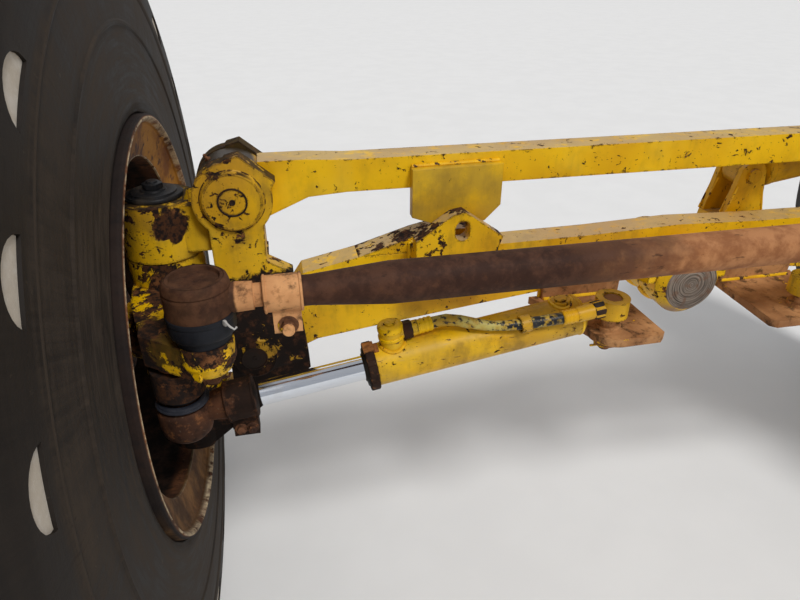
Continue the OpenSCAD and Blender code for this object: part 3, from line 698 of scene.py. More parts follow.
def placed(place, x, y, z, side):
    """A matrix from a piece's own millimetres to the frame, by its place and axes; side -1 mirrors it."""
    turn = Matrix((x, y, z)).transposed().to_4x4()
    put = Matrix.Translation(Vector(place) * MM + Vector((0, 0, HUB_Z)))
    return Matrix.Diagonal((side, 1, 1, 1)) @ put @ turn @ Matrix.Scale(MM, 4)


def at(place, along=(0, 0, 1), side=1):
    """The matrix of a piece whose z axis lies along a direction."""
    z = Vector(along).normalized()
    y = Vector((0, 0, 1)) if abs(z.z) < 0.9 else Vector((0, 1, 0))
    y = (y - z * y.dot(z)).normalized()
    return placed(place, y.cross(z), y, z, side)


def along_rod(start, end, side):
    """A cylinder's own frame: z from its base to its eye, -x up and -y to the rear."""
    z = (end - start).normalized()
    y = Vector((0, 0, 1)).cross(z).normalized()
    return placed(start, y.cross(z), y, z, side)


def port(cylinder, height):
    """The frame of a port on top of a cylinder, with z straight out of it."""
    return cylinder @ Matrix.Translation((0, 0, height)) @ Matrix.Rotation(-math.pi / 2, 4, "Y")


def spot(x, y, z, side=1):
    """A point of the frame from millimetres, with its height from the wheel centres."""
    return Vector((side * x * MM, y * MM, HUB_Z + z * MM))


def polar(radius, angle, z=0.0):
    return Vector((radius * math.cos(angle), radius * math.sin(angle), z))


def hexagon(radius, turn=0.0):
    corners = [turn + k * math.pi / 3 for k in range(6)]
    return [(radius * math.cos(a), radius * math.sin(a)) for a in corners]


# share of a nut's height that its washer face takes, and radius of a bolt as a share of its nut's
WASHER_FACE = 0.08
BOLT_SHARE = 0.52
GREASE_HEAD = [(2.8, 4), (2.8, 7), (2, 8), (2, 9.4), (3.1, 10.6), (3.1, 12), (1.4, 13.4), (0, 13.4)]


class Shape:
    """The mesh of one piece."""

    def __init__(self):
        self.mesh = bmesh.new()

    def rings(self, rings, loop=False):
        """Skins a row of rings of points; a ring of one point closes to a tip."""
        made = [[self.mesh.verts.new(p) for p in ring] for ring in rings]
        pairs = list(zip(made, made[1:])) + ([(made[-1], made[0])] if loop else [])
        for low, high in pairs:
            count = max(len(low), len(high))
            for k in range(count):
                n = (k + 1) % count
                corners = [low[k % len(low)], low[n % len(low)], high[n % len(high)], high[k % len(high)]]
                corners = list(dict.fromkeys(corners))
                if len(corners) > 2:
                    self.mesh.faces.new(corners)
        if not loop:
            for ring in (made[0], made[-1]):
                if len(ring) > 2:
                    self.mesh.faces.new(ring)
        return made

    def lathe(self, matrix, profile, steps, loop=False):
        """A turned piece from (radius, height) pairs."""
        rings = []
        for radius, height in profile:
            count = steps if radius > 1e-6 else 1
            rings.append([matrix @ polar(radius, 2 * math.pi * k / steps, height) for k in range(count)])
        self.rings(rings, loop)

    def collar(self, matrix, profile, steps=64):
        """A turned ring."""
        self.lathe(matrix, profile, steps, loop=True)

    def stack(self, matrix, outline, levels):
        """An outline lofted through (size, height) levels."""
        self.rings([[matrix @ Vector((x * size, y * size, z)) for x, y in outline] for size, z in levels])

    def sweep(self, points, radii, sides=8, closed=False):
        """A tube along points of the frame, with one radius or one for each point."""
        count = len(points)
        if not hasattr(radii, "__len__"):
            radii = [radii] * count
        normal = None
        rings = []
        for k, point in enumerate(points):
            before = points[k - 1] if k or closed else point
            after = points[(k + 1) % count] if k < count - 1 or closed else point
            way = (after - before).normalized()
            if normal is None:
                normal = way.orthogonal()
            normal = (normal - way * normal.dot(way)).normalized()
            other = way.cross(normal)
            turn = [2 * math.pi * s / sides for s in range(sides)]
            rings.append([point + (normal * math.cos(a) + other * math.sin(a)) * radii[k] * MM for a in turn])
        if not closed:
            first = points[0] - (points[1] - points[0]).normalized() * radii[0] * MM * 0.6
            last = points[-1] + (points[-1] - points[-2]).normalized() * radii[-1] * MM * 0.6
            rings = [[first], *rings, [last]]
        self.rings(rings, closed)

    def nut(self, matrix, radius, height, base=0.0):
        """A hexagon with chamfered corners, above a washer face."""
        face, high = base + height * WASHER_FACE, base + height
        self.lathe(matrix, [(0, base), (radius * 0.92, base), (radius * 0.92, face), (0, face)], 24)
        levels = [(0.95, face), (1.0, face + height * WASHER_FACE), (1.0, high - height * 0.12), (0.88, high)]
        self.stack(matrix, hexagon(radius), levels)

    def bolt(self, matrix, radius, height, washer=True, thread=0.0):
        """A hexagon head or nut on its washer, with the bolt's end standing out."""
        base = radius * 0.22 if washer else 0.0
        if washer:
            wide = radius * 1.28
            rim = [(wide, -0.5), (radius * 1.34, base * 0.5), (wide, base)]
            self.lathe(matrix, [(0, -0.5), *rim, (0, base)], 28)
        self.nut(matrix, radius, height, base)
        top, radius = base + height, radius * BOLT_SHARE
        if thread:
            pitch = max(thread / 7, 0.8)
            z = top - 1
            profile = [(0, z)]
            while z < top + thread:
                profile += [(radius, z), (radius * 0.90, z + pitch / 2)]
                z += pitch
            profile += [(radius * 0.85, z), (0, z)]
        else:
            profile = [(radius, top - 1), (radius, top + 0.4), (radius * 0.9, top + 0.9), (0, top + 0.9)]
        self.lathe(matrix, profile, 20)

    def bolt_circle(self, count, turn, x, radius, side, *bolt):
        """Bolts round the wheel's axis."""
        for k in range(count):
            y, z, _ = polar(radius, math.radians(360 / count * k + turn))
            self.bolt(at((x, y, z), (1, 0, 0), side), *bolt)

    def nipple(self, matrix):
        """A grease nipple."""
        self.stack(matrix, hexagon(5.5), [(0.95, 0), (1, 0.6), (1, 4.4), (0.9, 5)])
        self.lathe(matrix, GREASE_HEAD, 16)

    def done(self, name, body, finishes, slot, replaces=(), sharp=38):
        """Turns the mesh into a piece that rides on a body."""
        bmesh.ops.recalc_face_normals(self.mesh, faces=self.mesh.faces)
        data = bpy.data.meshes.new(name)
        self.mesh.to_mesh(data)
        self.mesh.free()
        data.polygons.foreach_set("use_smooth", [True] * len(data.polygons))
        data.set_sharp_from_angle(angle=math.radians(sharp))
        for finish in [finishes] if isinstance(finishes, str) else finishes:
            data.materials.append(mat(finish))
        piece = bpy.data.objects.new(name, data)
        bpy.context.scene.collection.objects.link(piece)
        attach(piece, body)
        if replaces:
            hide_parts(*replaces)


def smooth_path(points, step):
    """A curve through the points, with a point about every step millimetres."""
    ends = [points[0] * 2 - points[1]] + list(points) + [points[-1] * 2 - points[-2]]
    path = []
    for a, b, c, d in zip(ends, ends[1:], ends[2:], ends[3:]):
        count = max(1, round((c - b).length / step))
        for k in range(count):
            t = k / count
            bend = (2 * a - 5 * b + 4 * c - d) * t**2 + (3 * b - a - 3 * c + d) * t**3
            path.append(0.5 * ((2 * b) + (c - a) * t + bend))
    return path + [points[-1]]


# distance of the rings of a weld bead as a share of its size, and seeds of the beads' random sizes
BEAD_STEP = 0.28
BARREL_SEED, RIM_SEED, BEAM_SEED = 11, 23, 5


def bead(shape, points, size, draw, closed=False):
    """A weld bead with its scales, along points of the frame."""
    path = list(points)
    if not closed:
        path = []
        for a, b in zip(points, points[1:]):
            count = max(2, round((b - a).length / MM / (size * BEAD_STEP)))
            path += [a.lerp(b, k / count) for k in range(count)]
        path.append(points[-1])
    radii = []
    for k in range(len(path)):
        scale = abs(math.sin(k * math.pi * BEAD_STEP))
        radii.append(size * (0.80 + 0.18 * scale + draw.uniform(-0.04, 0.04)))
    shape.sweep(path, radii, 8, closed)


def beads(shape, welds, draw, side=1):
    """Weld beads from pairs of a size and places in millimetres."""
    for size, places in welds:
        bead(shape, [spot(*place, side) for place in places], size, draw)


def circle_points(matrix, radius, height, size, start=0.0, end=2 * math.pi):
    """Points of a bead on a circle or a part of it."""
    span = end - start
    count = max(8, int(radius * span / (size * BEAD_STEP)))
    total = count if abs(span - 2 * math.pi) < 1e-6 else count + 1
    return [matrix @ polar(radius, start + span * k / count, height) for k in range(total)]


# Operators, one for each group of like pieces


class AXLE_OT_paint(bpy.types.Operator):
    """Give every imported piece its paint, rust, rubber or chrome"""

    bl_idname = "axle.paint"
    bl_label = "Paint the pieces"

    def execute(self, context):
        for name, piece in NODES.items():
            piece.data.materials.clear()
            piece.data.materials.append(mat(FINISHES[name.removeprefix("left_").removeprefix("right_")]))
        return {"FINISHED"}


# the tyre as (distance from its middle plane, radius), from the bead to the middle of the tread
TYRE_BEAD = [(103.5, 305), (133.5, 305), (133.5, 329), (139.5, 339), (149.5, 343.2)]
TYRE_WALL = [
    (154.2, 346), (155.2, 352), (157.6, 358), (158.2, 366), (156.0, 374), (155.3, 384),
    (155.6, 400), (156, 430), (156, 458), (156, 462), (158.4, 464.5), (158.8, 468),
    (156.4, 471), (156, 478), (156, 505), (154.8, 522), (153.3, 538), (155.6, 543),
    (155.8, 547), (154.0, 551), (153.6, 556), (153.2, 561), (153.0, 565),
]
TYRE_SHOULDER = [(150.2, 601), (147.6, 608), (142, 619), (135.5, 631), (129, 643), (124, 655)]
TYRE_CROWN = [(119, 663), (108, 672), (92, 677.5), (72, 681), (50, 683.5), (28, 684.6), (12, 685), (0, 685)]
TYRE_INSIDE = [
    (36, 647), (86, 639), (112, 609), (128, 535), (130, 475),
    (122, 425), (129.5, 357), (109.5, 335), (103.5, 319),
]
# rows of a pocket, from 0 at its inner end to 1 at its outer end
TYRE_POCKET = [(0.0, "edge"), (0.04, "floor"), (0.5, "floor"), (0.96, "floor"), (1.0, "edge")]
POCKET_R, POCKET_RISE, POCKET_DEPTH = 566, 31, 3.2
# middle and half width of a pocket, and the points round the tyre, as shares of the pitch of its lugs
POCKET_AT, POCKET_HALF = 0.30, 0.232
TYRE_STEPS = [
    0.0, 0.04, 0.066, 0.072, 0.09, 0.12, 0.16, 0.20, 0.25, 0.30, 0.35, 0.40,
    0.44, 0.48, 0.51, 0.528, 0.534, 0.56, 0.60, 0.64, 0.72, 0.82, 0.92,
]
# flank round the pockets: distance from the middle plane at a radius, and slope
FLANK_X, FLANK_R, FLANK_SLOPE = 153.0, 564, 0.06
# lugs of the tread: number, turn of the first in pitches, depth of the gaps, half width of the tread
LUGS, PHASE, GAP_DEPTH, TREAD_HALF = 22, -0.165, 27, 124
# how far the lugs slant and the walls are turned, in pitches
SLANT, WALL_TURN = 1.15, 0.25


def in_pocket(u):
    return abs(u - POCKET_AT) < POCKET_HALF


def tyre_section():
    """The rings of the tyre, as a place and its kind; a pocket's place is its side and row."""
    half = [(p, "bead") for p in TYRE_BEAD] + [(p, "wall") for p in TYRE_WALL]
    half += [((1, row), kind) for row, kind in TYRE_POCKET]
    half += [(p, "shoulder") for p in TYRE_SHOULDER] + [(p, "crown") for p in TYRE_CROWN]
    half += [((-x, r), kind) for (x, r), kind in reversed(half[:-1])]
    half += [((-x, r), "inside") for x, r in reversed(TYRE_INSIDE)]
    return half + [(p, "inside") for p in TYRE_INSIDE]


def tyre_point(x, radius, kind, u):
    """Distance from the middle plane, radius and angle in pitches of a point of the tyre."""
    turn = u + PHASE + WALL_TURN * math.copysign(1, x)
    if kind == "inside":
        turn = u + PHASE + WALL_TURN * max(-1, min(1, x / 100))
    if kind in ("edge", "floor"):
        # half-oval pockets, straight towards the bead
        reach = math.sqrt(1 - ((u - POCKET_AT) / POCKET_HALF) ** 2) if in_pocket(u) else 0.03
        radius = POCKET_R + POCKET_RISE * reach * radius
        depth = POCKET_DEPTH if kind == "floor" and in_pocket(u) else 0.0
        x = math.copysign(FLANK_X - (radius - FLANK_R) * FLANK_SLOPE - depth, x)
    if kind == "crown":
        turn = u + PHASE + SLANT * (1 - abs(x) / TREAD_HALF) + WALL_TURN * x / TREAD_HALF
        gap = 1.0 if 0.10 < u < 0.50 else 0.0
        if abs(x) < 10:
            gap *= 0.35
        radius -= 0.6 if u == 0.04 else GAP_DEPTH * gap
        x *= 1 - 0.03 * gap
    return x, radius, turn


class AXLE_OT_tyres(bpy.types.Operator):
    """Make the tyres with ribbed walls, pocketed shoulders and angled lugs"""

    bl_idname = "axle.tyres"
    bl_label = "Make the tyres"

    def execute(self, context):
        section = tyre_section()
        for word, side in SIDES:
            shape = Shape()
            rings = []
            for place, kind in section:
                ring = []
                for k in range(LUGS * len(TYRE_STEPS)):
                    lug, step = divmod(k, len(TYRE_STEPS))
                    x, radius, turn = tyre_point(*place, kind, TYRE_STEPS[step])
                    y, z, _ = polar(radius, (lug + turn) * 2 * math.pi / LUGS)
                    ring.append(spot(WHEEL_X + x, y, z, side))
                rings.append(ring)
            floor = set()
            for (_, kind), ring in zip(section, shape.rings(rings, loop=True)):
                if kind == "floor":
                    floor.update(p for k, p in enumerate(ring) if in_pocket(TYRE_STEPS[k % len(TYRE_STEPS)]))
            # the pockets' floors get the pale painted sunlight
            for face in shape.mesh.faces:
                if all(corner in floor for corner in face.verts):
                    face.material_index = 1
            finishes = ["tyre rubber", "painted sun in pockets"]
            shape.done(f"{word}_tyre_looks", f"{word}_wheel", finishes, "tyre", [f"{word}_tyre"], 30)
        return {"FINISHED"}


# route of the hose from the gland's port to the base: angle from up to the rear, lift, distance from the base
HOSE_ROUTE = [
    (0, 8, 330), (0, 9, 306), (3, 10, 284), (12, 8, 264), (23, 4, 244), (34, 2, 222),
    (42, 2, 196), (47, 2, 168), (51, 2, 138), (54, 2, 110), (55, 2, 84),
]
# guard spiral of the hose: pitch, where it starts and ends
SPIRAL_PITCH, SPIRAL_START, SPIRAL_END = 4.4, 28, 190


class AXLE_OT_hoses(bpy.types.Operator):
    """Make the steering cylinders' hoses with their crimped ends"""

    bl_idname = "axle.hoses"
    bl_label = "Make the hoses"

    def execute(self, context):
        crimp = [(8.5, -9), (11.3, -9), (11.9, -7)]
        for z in (-5, 1.5, 8, 14.5):
            crimp += [(11.9, z), (11.1, z + 1.4), (11.1, z + 3.4), (11.9, z + 4.6)]
        crimp += [(11.6, 22), (10.2, 23.5), (8.5, 23.5)]
        for word, side in SIDES:
            place = along_rod(ROD_BASE, ROD_EYE, side)
            points = []
            for angle, lift, z in HOSE_ROUTE:
                points.append(place @ polar(-(BARREL_R + HOSE_R + lift), math.radians(angle), z))
            path = smooth_path(points, 0.8)
            gone, radii = 0.0, []
            for before, point in zip([path[0]] + path, path):
                gone += (point - before).length / MM
                relief = 1.25 if SPIRAL_START < gone < SPIRAL_END else 0.3
                wave = 0.5 + 0.5 * math.cos(gone * 2 * math.pi / SPIRAL_PITCH)
                radii.append(HOSE_R - 0.2 - relief * wave)
            shape = Shape()
            shape.sweep(path, radii, 20)
            shape.done(f"{word}_hose_looks", f"{word}_barrel", "hose rubber", "rubber", [f"{word}_hose"], 60)
            ends = Shape()
            for end, other in ((points[0], points[1]), (points[-1], points[-2])):
                turn = (other - end).normalized().to_track_quat("Z", "Y").to_matrix().to_4x4()
                ends.collar(Matrix.Translation(end) @ turn @ Matrix.Scale(MM, 4), crimp, 28)
            ends.done(f"{word}_hose_ends", f"{word}_barrel", "fitting paint", "yellow_steel")
        return {"FINISHED"}


# sections of turned pieces as (radius, height)
WIPER = [(19.35, 414), (31.0, 414), (31.0, 419.6), (29.4, 421), (24.5, 420.4), (21.2, 423.4), (19.35, 422)]
HEAD_CAP = [(0, 57), (19.2, 57), (19.9, 59), (19.9, 64), (18.6, 66.8), (14.5, 68.4), (9, 68.8), (0, 68.8)]
HEAD_RING = [(19.4, 44), (20.4, 45), (20.4, 49), (19.4, 50), (18.2, 50), (18.2, 44)]
BASE_PLUG = [(0, 33.6), (14.8, 33.6), (15.6, 34.8), (14.2, 36.4), (0, 36.4)]
FORGING = [
    (0, -39.5), (20, -39.5), (29, -36.5), (35.5, -29), (38.4, -18), (38.8, 0),
    (38.8, 12), (37.0, 16), (33, 19.4), (28, 20.6), (0, 20.6),
]
NECK = [(0, 12), (18, 12), (20, 26), (22.6, 44), (25, 56), (26, 61.5), (0, 61.5)]
SEAL = [
    (28, 24), (37.6, 24), (38.6, 25.6), (37.8, 27.6), (36.2, 28.2),
    (35.6, 30.4), (33.6, 31.8), (30.5, 32.2), (28.4, 31.6),
]
LEAN_HEAD = [(20.6, 285), (35, 285), (35.6, 287), (35.6, 291), (34, 293), (26, 293.4), (24, 296), (20.6, 296)]
LEAN_RINGS = [
    [(37.4, 268), (39.4, 269), (39.4, 284), (37.4, 285.4), (34, 285.4), (34, 268)],
    [(37.4, 37), (39.2, 38), (39.2, 50), (37.4, 51), (34, 51), (34, 37)],
]
LEAN_PORT = [(0, 36), (14, 36), (14, 50), (12.6, 51.4), (0, 51.4)]
# the gland nut as (height, radius), its points round, its notches and how deep they are
GLAND = [
    (404.6, 37.6), (405.4, 38.6), (417.0, 38.6), (418.4, 37.4),
    (418.4, 31.5), (414, 31.2), (404.6, 31.2),
]
GLAND_STEPS, NOTCHES, NOTCH_DEPTH = 96, 8, 4.6
# parts of the lock tab as lowest and highest point, inner and outer radius, and its middle in degrees
TAB = [(396, 404.4, 33.2, 36.4), (402.5, 419.4, 35.4, 41.2)]
TAB_AT = 6
# heights of the ports at the cylinder's head and base
HEAD_PORT, BASE_PORT = 372, 92


def gland_nut(place):
    """The notched nut that closes the barrel."""
    shape = Shape()
    rings = []
    for z, radius in GLAND:
        ring = []
        for k in range(GLAND_STEPS):
            notched = k % (GLAND_STEPS // NOTCHES) < 3 and radius > 33
            reach = radius - NOTCH_DEPTH if notched else radius
            ring.append(place @ polar(reach, 2 * math.pi * k / GLAND_STEPS, z))
        rings.append(ring)
    shape.rings(rings, loop=True)
    return shape


def lock_tab(place):
    """The tab bent over the barrel's edge."""
    shape = Shape()
    for low, high, inner, outer in TAB:
        outline = ((inner, -16), (outer, -15), (outer + 0.6, 0), (outer, 15), (inner, 16), (inner, 0))
        outline = [(-radius, math.radians(angle + TAB_AT)) for radius, angle in outline]
        shape.rings([[place @ polar(*corner, z) for corner in outline] for z in (low, high)])
    return shape


def port_weld(shape, place, height, radius, draw):
    """A bead where a port meets the barrel."""
    points = []
    steps = int(2 * math.pi * radius / 0.9)
    for k in range(steps):
        y, up, _ = polar(radius + 1.2, 2 * math.pi * k / steps)
        points.append(place @ Vector((-math.sqrt((BARREL_R + 1.0) ** 2 - y * y), y, height + up)))
    bead(shape, points, 3.0, draw, True)


def dress_barrel(word, place, draw):
    """Gland nut, wiper, tab, ports, hose nuts and welds of a steering cylinder."""
    body = f"{word}_barrel"
    gland_nut(place).done(f"{word}_gland_nut", body, "gland rust", "rusty_steel", sharp=30)
    wiper = Shape()
    wiper.collar(place, WIPER)
    wiper.done(f"{word}_rod_wiper", body, "black paint", "rubber")
    lock_tab(place).done(f"{word}_gland_tab", body, "tab rust", "rusty_steel")
    ports = Shape()
    head, base = port(place, HEAD_PORT), port(place, BASE_PORT)
    ports.lathe(head, HEAD_CAP, 40)
    ports.nut(head, 9.5, 3.2, base=68.6)
    ports.collar(head, HEAD_RING, 36)
    ports.lathe(base, BASE_PLUG, 32)
    ports.nut(base, 10.5, 4, base=35)
    ports.done(f"{word}_port_caps", body, "fitting paint", "yellow_steel")
    nuts = Shape()
    elbow = place @ Matrix.Translation((-(BARREL_R + HOSE_R + 8), 0, 0))
    nuts.stack(elbow, hexagon(14.6, 0.3), [(0.94, 339), (1, 341), (1, 352), (0.94, 354)])
    low_end = place @ Matrix.Translation(polar(-(BARREL_R + HOSE_R + 2), math.radians(55)))
    nuts.stack(low_end, hexagon(15.0, 0.2), [(0.94, 38.4), (1, 40), (1, 54), (0.94, 55.6)])
    nuts.done(f"{word}_hose_nuts", body, "dark steel", "dark_steel")
    welds = Shape()
    port_weld(welds, place, HEAD_PORT, 18.5, draw)
    port_weld(welds, place, BASE_PORT, 16, draw)
    bead(welds, circle_points(place, BARREL_R - 1.0, 66.4, 3.0), 2.6, draw, True)
    welds.done(f"{word}_barrel_welds", body, "weld", "yellow_steel")


def dress_rod_end(word, side):
    """Clamp bolts, forged eye, seal and clamp edges of a rod end."""
    body = f"{word}_rod_end"
    clamp = Shape()
    for dx in (-94, -77):
        for way, thread in ((-1, 0), (1, 3)):
            clamp.bolt(at(ROD_EYE + Vector((dx, 11 * way, -36)), (0, way, 0), side), 7.2, 6.5, True, thread)
    clamp.done(f"{word}_rod_clamp_bolts", body, "bolt rust", "rusty_steel")
    ball, back = at(ROD_EYE, side=side), along_rod(ROD_EYE, ROD_BASE, side)
    forging = Shape()
    forging.lathe(ball, FORGING, 64)
    forging.lathe(back, NECK, 56)
    forging.done(f"{word}_rod_end_forging", body, "rod end rust", "rusty_steel", sharp=44)
    seal = Shape()
    seal.collar(ball, SEAL)
    seal.done(f"{word}_rod_end_seal", body, "seal rubber", "rubber")
    edges = Shape()
    for z in (62.5, 102.5):
        edges.collar(back, [(30.6, z - 2), (32.2, z - 1), (32.2, z + 1), (30.6, z + 2), (29, z)], 48)
    edges.done(f"{word}_rod_clamp_edges", body, "rod end rust", "rusty_steel")


class AXLE_OT_cylinders(bpy.types.Operator):
    """Add gland slots, lock tabs, ports, plugs and clamp bolts to the cylinders"""

    bl_idname = "axle.cylinders"
    bl_label = "Dress the cylinders"

    def execute(self, context):
        draw = random.Random(BARREL_SEED)
        for word, side in SIDES:
            dress_barrel(word, along_rod(ROD_BASE, ROD_EYE, side), draw)
            dress_rod_end(word, side)
        place = along_rod(LEAN_BASE, LEAN_EYE, 1)
        lean = Shape()
        for section in (LEAN_HEAD, *LEAN_RINGS):
            lean.collar(place, section)
        for z in (64, 254):
            lean.lathe(port(place, z), LEAN_PORT, 32)
            lean.nut(port(place, z), 11, 8, base=51)
        lean.done("lean_cylinder_fittings", "lean_barrel", "cylinder paint", "yellow_steel")
        return {"FINISHED"}


KINGPIN_CAP = [
    (40, 227), (42, 228), (42.6, 229.6), (42.4, 233), (41, 234.6), (34, 235),
    (33.4, 237.4), (31.6, 238.2), (19, 238), (18, 240.2), (0, 240.2),
]
KINGPIN_END = [(8.6, 249), (8.6, 251.4), (7.4, 252.6), (0, 252.6)]
TIE_NECK = [(15, 98), (20.4, 98), (21.6, 101), (21.6, 112), (20.4, 115), (15, 115)]
TIE_CAP = [(36.5, 34.5), (40.8, 31.5), (42.2, 27), (43.4, 21.5), (40.5, 21), (39.3, 27), (38.2, 31.5)]
TIE_COVER = [
    (43.0, -13.5), (44.7, -14), (45.2, -17), (44.9, -20.5), (43.9, -21.5), (44.3, -28),
    (44.4, -35), (43.8, -40), (42.2, -43.6), (39.0, -45.6), (34, -45.6), (34, -40),
]
CLIP = [(-1.6, -3.6), (1.6, -3.6), (1.9, 0), (1.6, 3.6), (-1.6, 3.6), (-1.9, 0)]
CLIP_TAIL = [(-35, -37, -17), (-39, -41, -20), (-44, -42, -24), (-47, -40, -22)]
# split pins of the ball nuts and of the base nuts
BALL_SPLIT_PIN = [(-24, 0, 21), (-10, 0, 21), (10, 0, 21), (22, 3, 22), (24, 6, 17)]
BASE_SPLIT_PIN = [(-26, 0, 22), (0, 0, 22), (24, 2, 23), (27, 5, 19)]


def dress_pins(word, side):
    """Raised discs, rings and dimples of the lean pins, on both faces of the yoke."""
    pins, dark = Shape(), Shape()
    for way in (-1, 1):
        for height, face, disc in ((UPPER_Z, 63, 43), (LOWER_Z, 62, 36)):
            matrix = at((LEAN_PIN_X, 0, height), (0, way, 0), side)
            # the disc stands on a soft foot
            section = [(disc - 1, 56), (disc + 5.5, 56.6), (disc + 3.4, 57.6), (disc + 1.6, 59.6)]
            section += [(disc + 0.8, face - 1.6), (disc - 0.6, face + 0.25)]
            section += [(disc - 3, face + 0.3), (disc - 3, face - 2)]
            pins.collar(matrix, section, 128)
            ring = ((19.1, -1), (19.3, 0.6), (20.5, 1.0), (21.7, 0.5), (21.9, -1))
            dark.collar(matrix, [(radius, face + z) for radius, z in ring], 56)
            dimple = ((0, -0.5), (4.6, -0.5), (4.4, 0.8), (3.2, 0.9), (2.4, 0.1), (0, 0.05))
            dark.lathe(matrix, [(radius, face + z) for radius, z in dimple], 24)
    pins.done(f"{word}_pin_discs", f"{word}_yoke", "pin paint", "yellow_cast")
    dark.done(f"{word}_pin_rings", f"{word}_yoke", "dark steel", "dark_steel")
    caps = Shape()
    for way in (1, -1):
        matrix = at((KINGPIN.x, 0, 0), (0, 0, way), side)
        caps.lathe(matrix, KINGPIN_CAP, 64)
        caps.nut(matrix, 15.2, 10, base=239.6)
        caps.lathe(matrix, KINGPIN_END, 24)
    caps.done(f"{word}_kingpin_caps", f"{word}_yoke", "black paint", "black_steel")
    nipple = Shape()
    nipple.nipple(at((LEAN_PIN_X + 30, 0, UPPER_Z + 46), (0.55, 0, 0.84), side) @ Matrix.Scale(0.9, 4))
    nipple.done(f"{word}_bar_nipple", "lean_bar", "bolt rust", "rusty_steel")


def dress_tie_end(word, side):
    """Clamp bolt, edges, cover and clip of a tie rod's end."""
    body = "tie_rod" if word == "left" else "right_tie_end"
    tie = Shape()
    for way, height, thread in ((-1, 9, 5), (1, 8, 0)):
        tie.bolt(at(TIE_BALL + Vector((-111, 13 * way, -43)), (0, way, 0), side), 10.5, height, True, thread)
    tie.done(f"{word}_tie_clamp_bolt", body, "bolt rust", "rusty_steel")
    bands = Shape()
    neck = along_rod(TIE_BALL, TIE_BALL - Vector((80, 0, 0)), side)
    for z in (84.5, 131.5):
        bands.collar(neck, [(24, z - 2.4), (26.4, z - 1.4), (26.8, z), (26.4, z + 1.4), (24, z + 2.4)], 48)
    bands.collar(neck, TIE_NECK, 48)
    ball = at(TIE_BALL, side=side)
    bands.collar(ball, TIE_CAP)
    bands.done(f"{word}_tie_end_edges", body, "socket rust", "rusty_steel")
    boot = Shape()
    boot.collar(ball, TIE_COVER, 72)
    boot.done(f"{word}_tie_end_cover", body, "boot rubber", "rubber")
    clip = Shape()
    tail = at(TIE_BALL + Vector((-31, -33, -17)), (-0.62, -0.74, -0.16), side)
    clip.stack(tail, CLIP, [(0.9, 0), (1.1, 2), (1.0, 5), (0.8, 6.5)])
    curl = [spot(*(TIE_BALL + Vector(place)), side) for place in CLIP_TAIL]
    clip.sweep(smooth_path(curl, 1.5), 1.5, 8)
    clip.done(f"{word}_cover_clip", body, "tie plastic", "black_steel")


class AXLE_OT_joints(bpy.types.Operator):
    """Add rings, dimples, caps, nipples, nuts and clamp bolts at pins and balls"""

    bl_idname = "axle.joints"
    bl_label = "Dress the pins and balls"

    def execute(self, context):
        for word, side in SIDES:
            dress_pins(word, side)
            dress_tie_end(word, side)
            nuts = Shape()
            for ball, height, way in ((TIE_BALL, 50, -1), (ROD_EYE, 38, 1)):
                matrix = at((ball.x, ball.y, height), (0, 0, way), side)
                nuts.bolt(matrix, 19, 15, True, 6)
                nuts.sweep([matrix @ Vector(place) for place in BALL_SPLIT_PIN], 1.9, 8)
            nuts.done(f"{word}_ball_nuts", f"{word}_knuckle", "bolt rust", "rusty_steel")
            base = Shape()
            matrix = at((ROD_BASE.x, ROD_BASE.y, -14), (0, 0, -1), side)
            base.lathe(matrix, [(0, -3), (25, -3), (25.6, 0.5), (24, 1.4), (0, 1.4)], 40)
            base.nut(matrix, 20.6, 18, base=1.2)
            base.lathe(matrix, [(10, 19), (10, 27), (8.6, 28.6), (0, 28.6)], 24)
            base.sweep([matrix @ Vector(place) for place in BASE_SPLIT_PIN], 2.0, 8)
            base.done(f"{word}_base_nut", "axle", "bolt rust", "rusty_steel")
        return {"FINISHED"}


# wheel nuts and hub cap bolts: number, turn in degrees, distance from the axle's middle, radius of circle
WHEEL_NUTS = (12, 0, 1114, 142)
CAP_BOLTS = (6, 20, 1179.5, 37)
RIM_WELD_R = 277.5
VALVE_STEM = [(1150, 0, 279), (1158, 0, 264), (1172, 0, 252), (1192, 0, 247)]


class AXLE_OT_wheels(bpy.types.Operator):
    """Add wheel studs and nuts, the rim's weld, valves and hub cap bolts"""

    bl_idname = "axle.wheels"
    bl_label = "Dress the wheels"

    def execute(self, context):
        draw = random.Random(RIM_SEED)
        for word, side in SIDES:
            nuts = Shape()
            nuts.bolt_circle(*WHEEL_NUTS, side, 16, 16, True, 12)
            nuts.bolt_circle(*CAP_BOLTS, side, 6.5, 5, False)
            nuts.done(f"{word}_wheel_nuts", f"{word}_wheel", "bolt rust", "rusty_steel")
            weld = Shape()
            for x in (1121, 1137):
                bead(weld, circle_points(at((0, 0, 0), (1, 0, 0), side), RIM_WELD_R, x, 5), 4.6, draw, True)
            weld.done(f"{word}_rim_weld", f"{word}_wheel", "bolt rust", "rusty_steel")
            valve = Shape()
            valve.sweep(smooth_path([spot(*place, side) for place in VALVE_STEM], 2), 4.2, 12)
            tip = at((1190, 0, 247.4), (1, 0, -0.2), side)
            valve.lathe(tip, [(0, 0), (5.4, 0), (5.6, 1), (5.6, 12), (4.6, 14), (0, 14)], 20)
            valve.lathe(at((1149, 0, 281), (0.45, 0, -1), side), [(0, 0), (9, 0), (9, 4), (6, 6), (0, 6)], 20)
            valve.done(f"{word}_valve", f"{word}_wheel", "black paint", "black_steel")
        return {"FINISHED"}


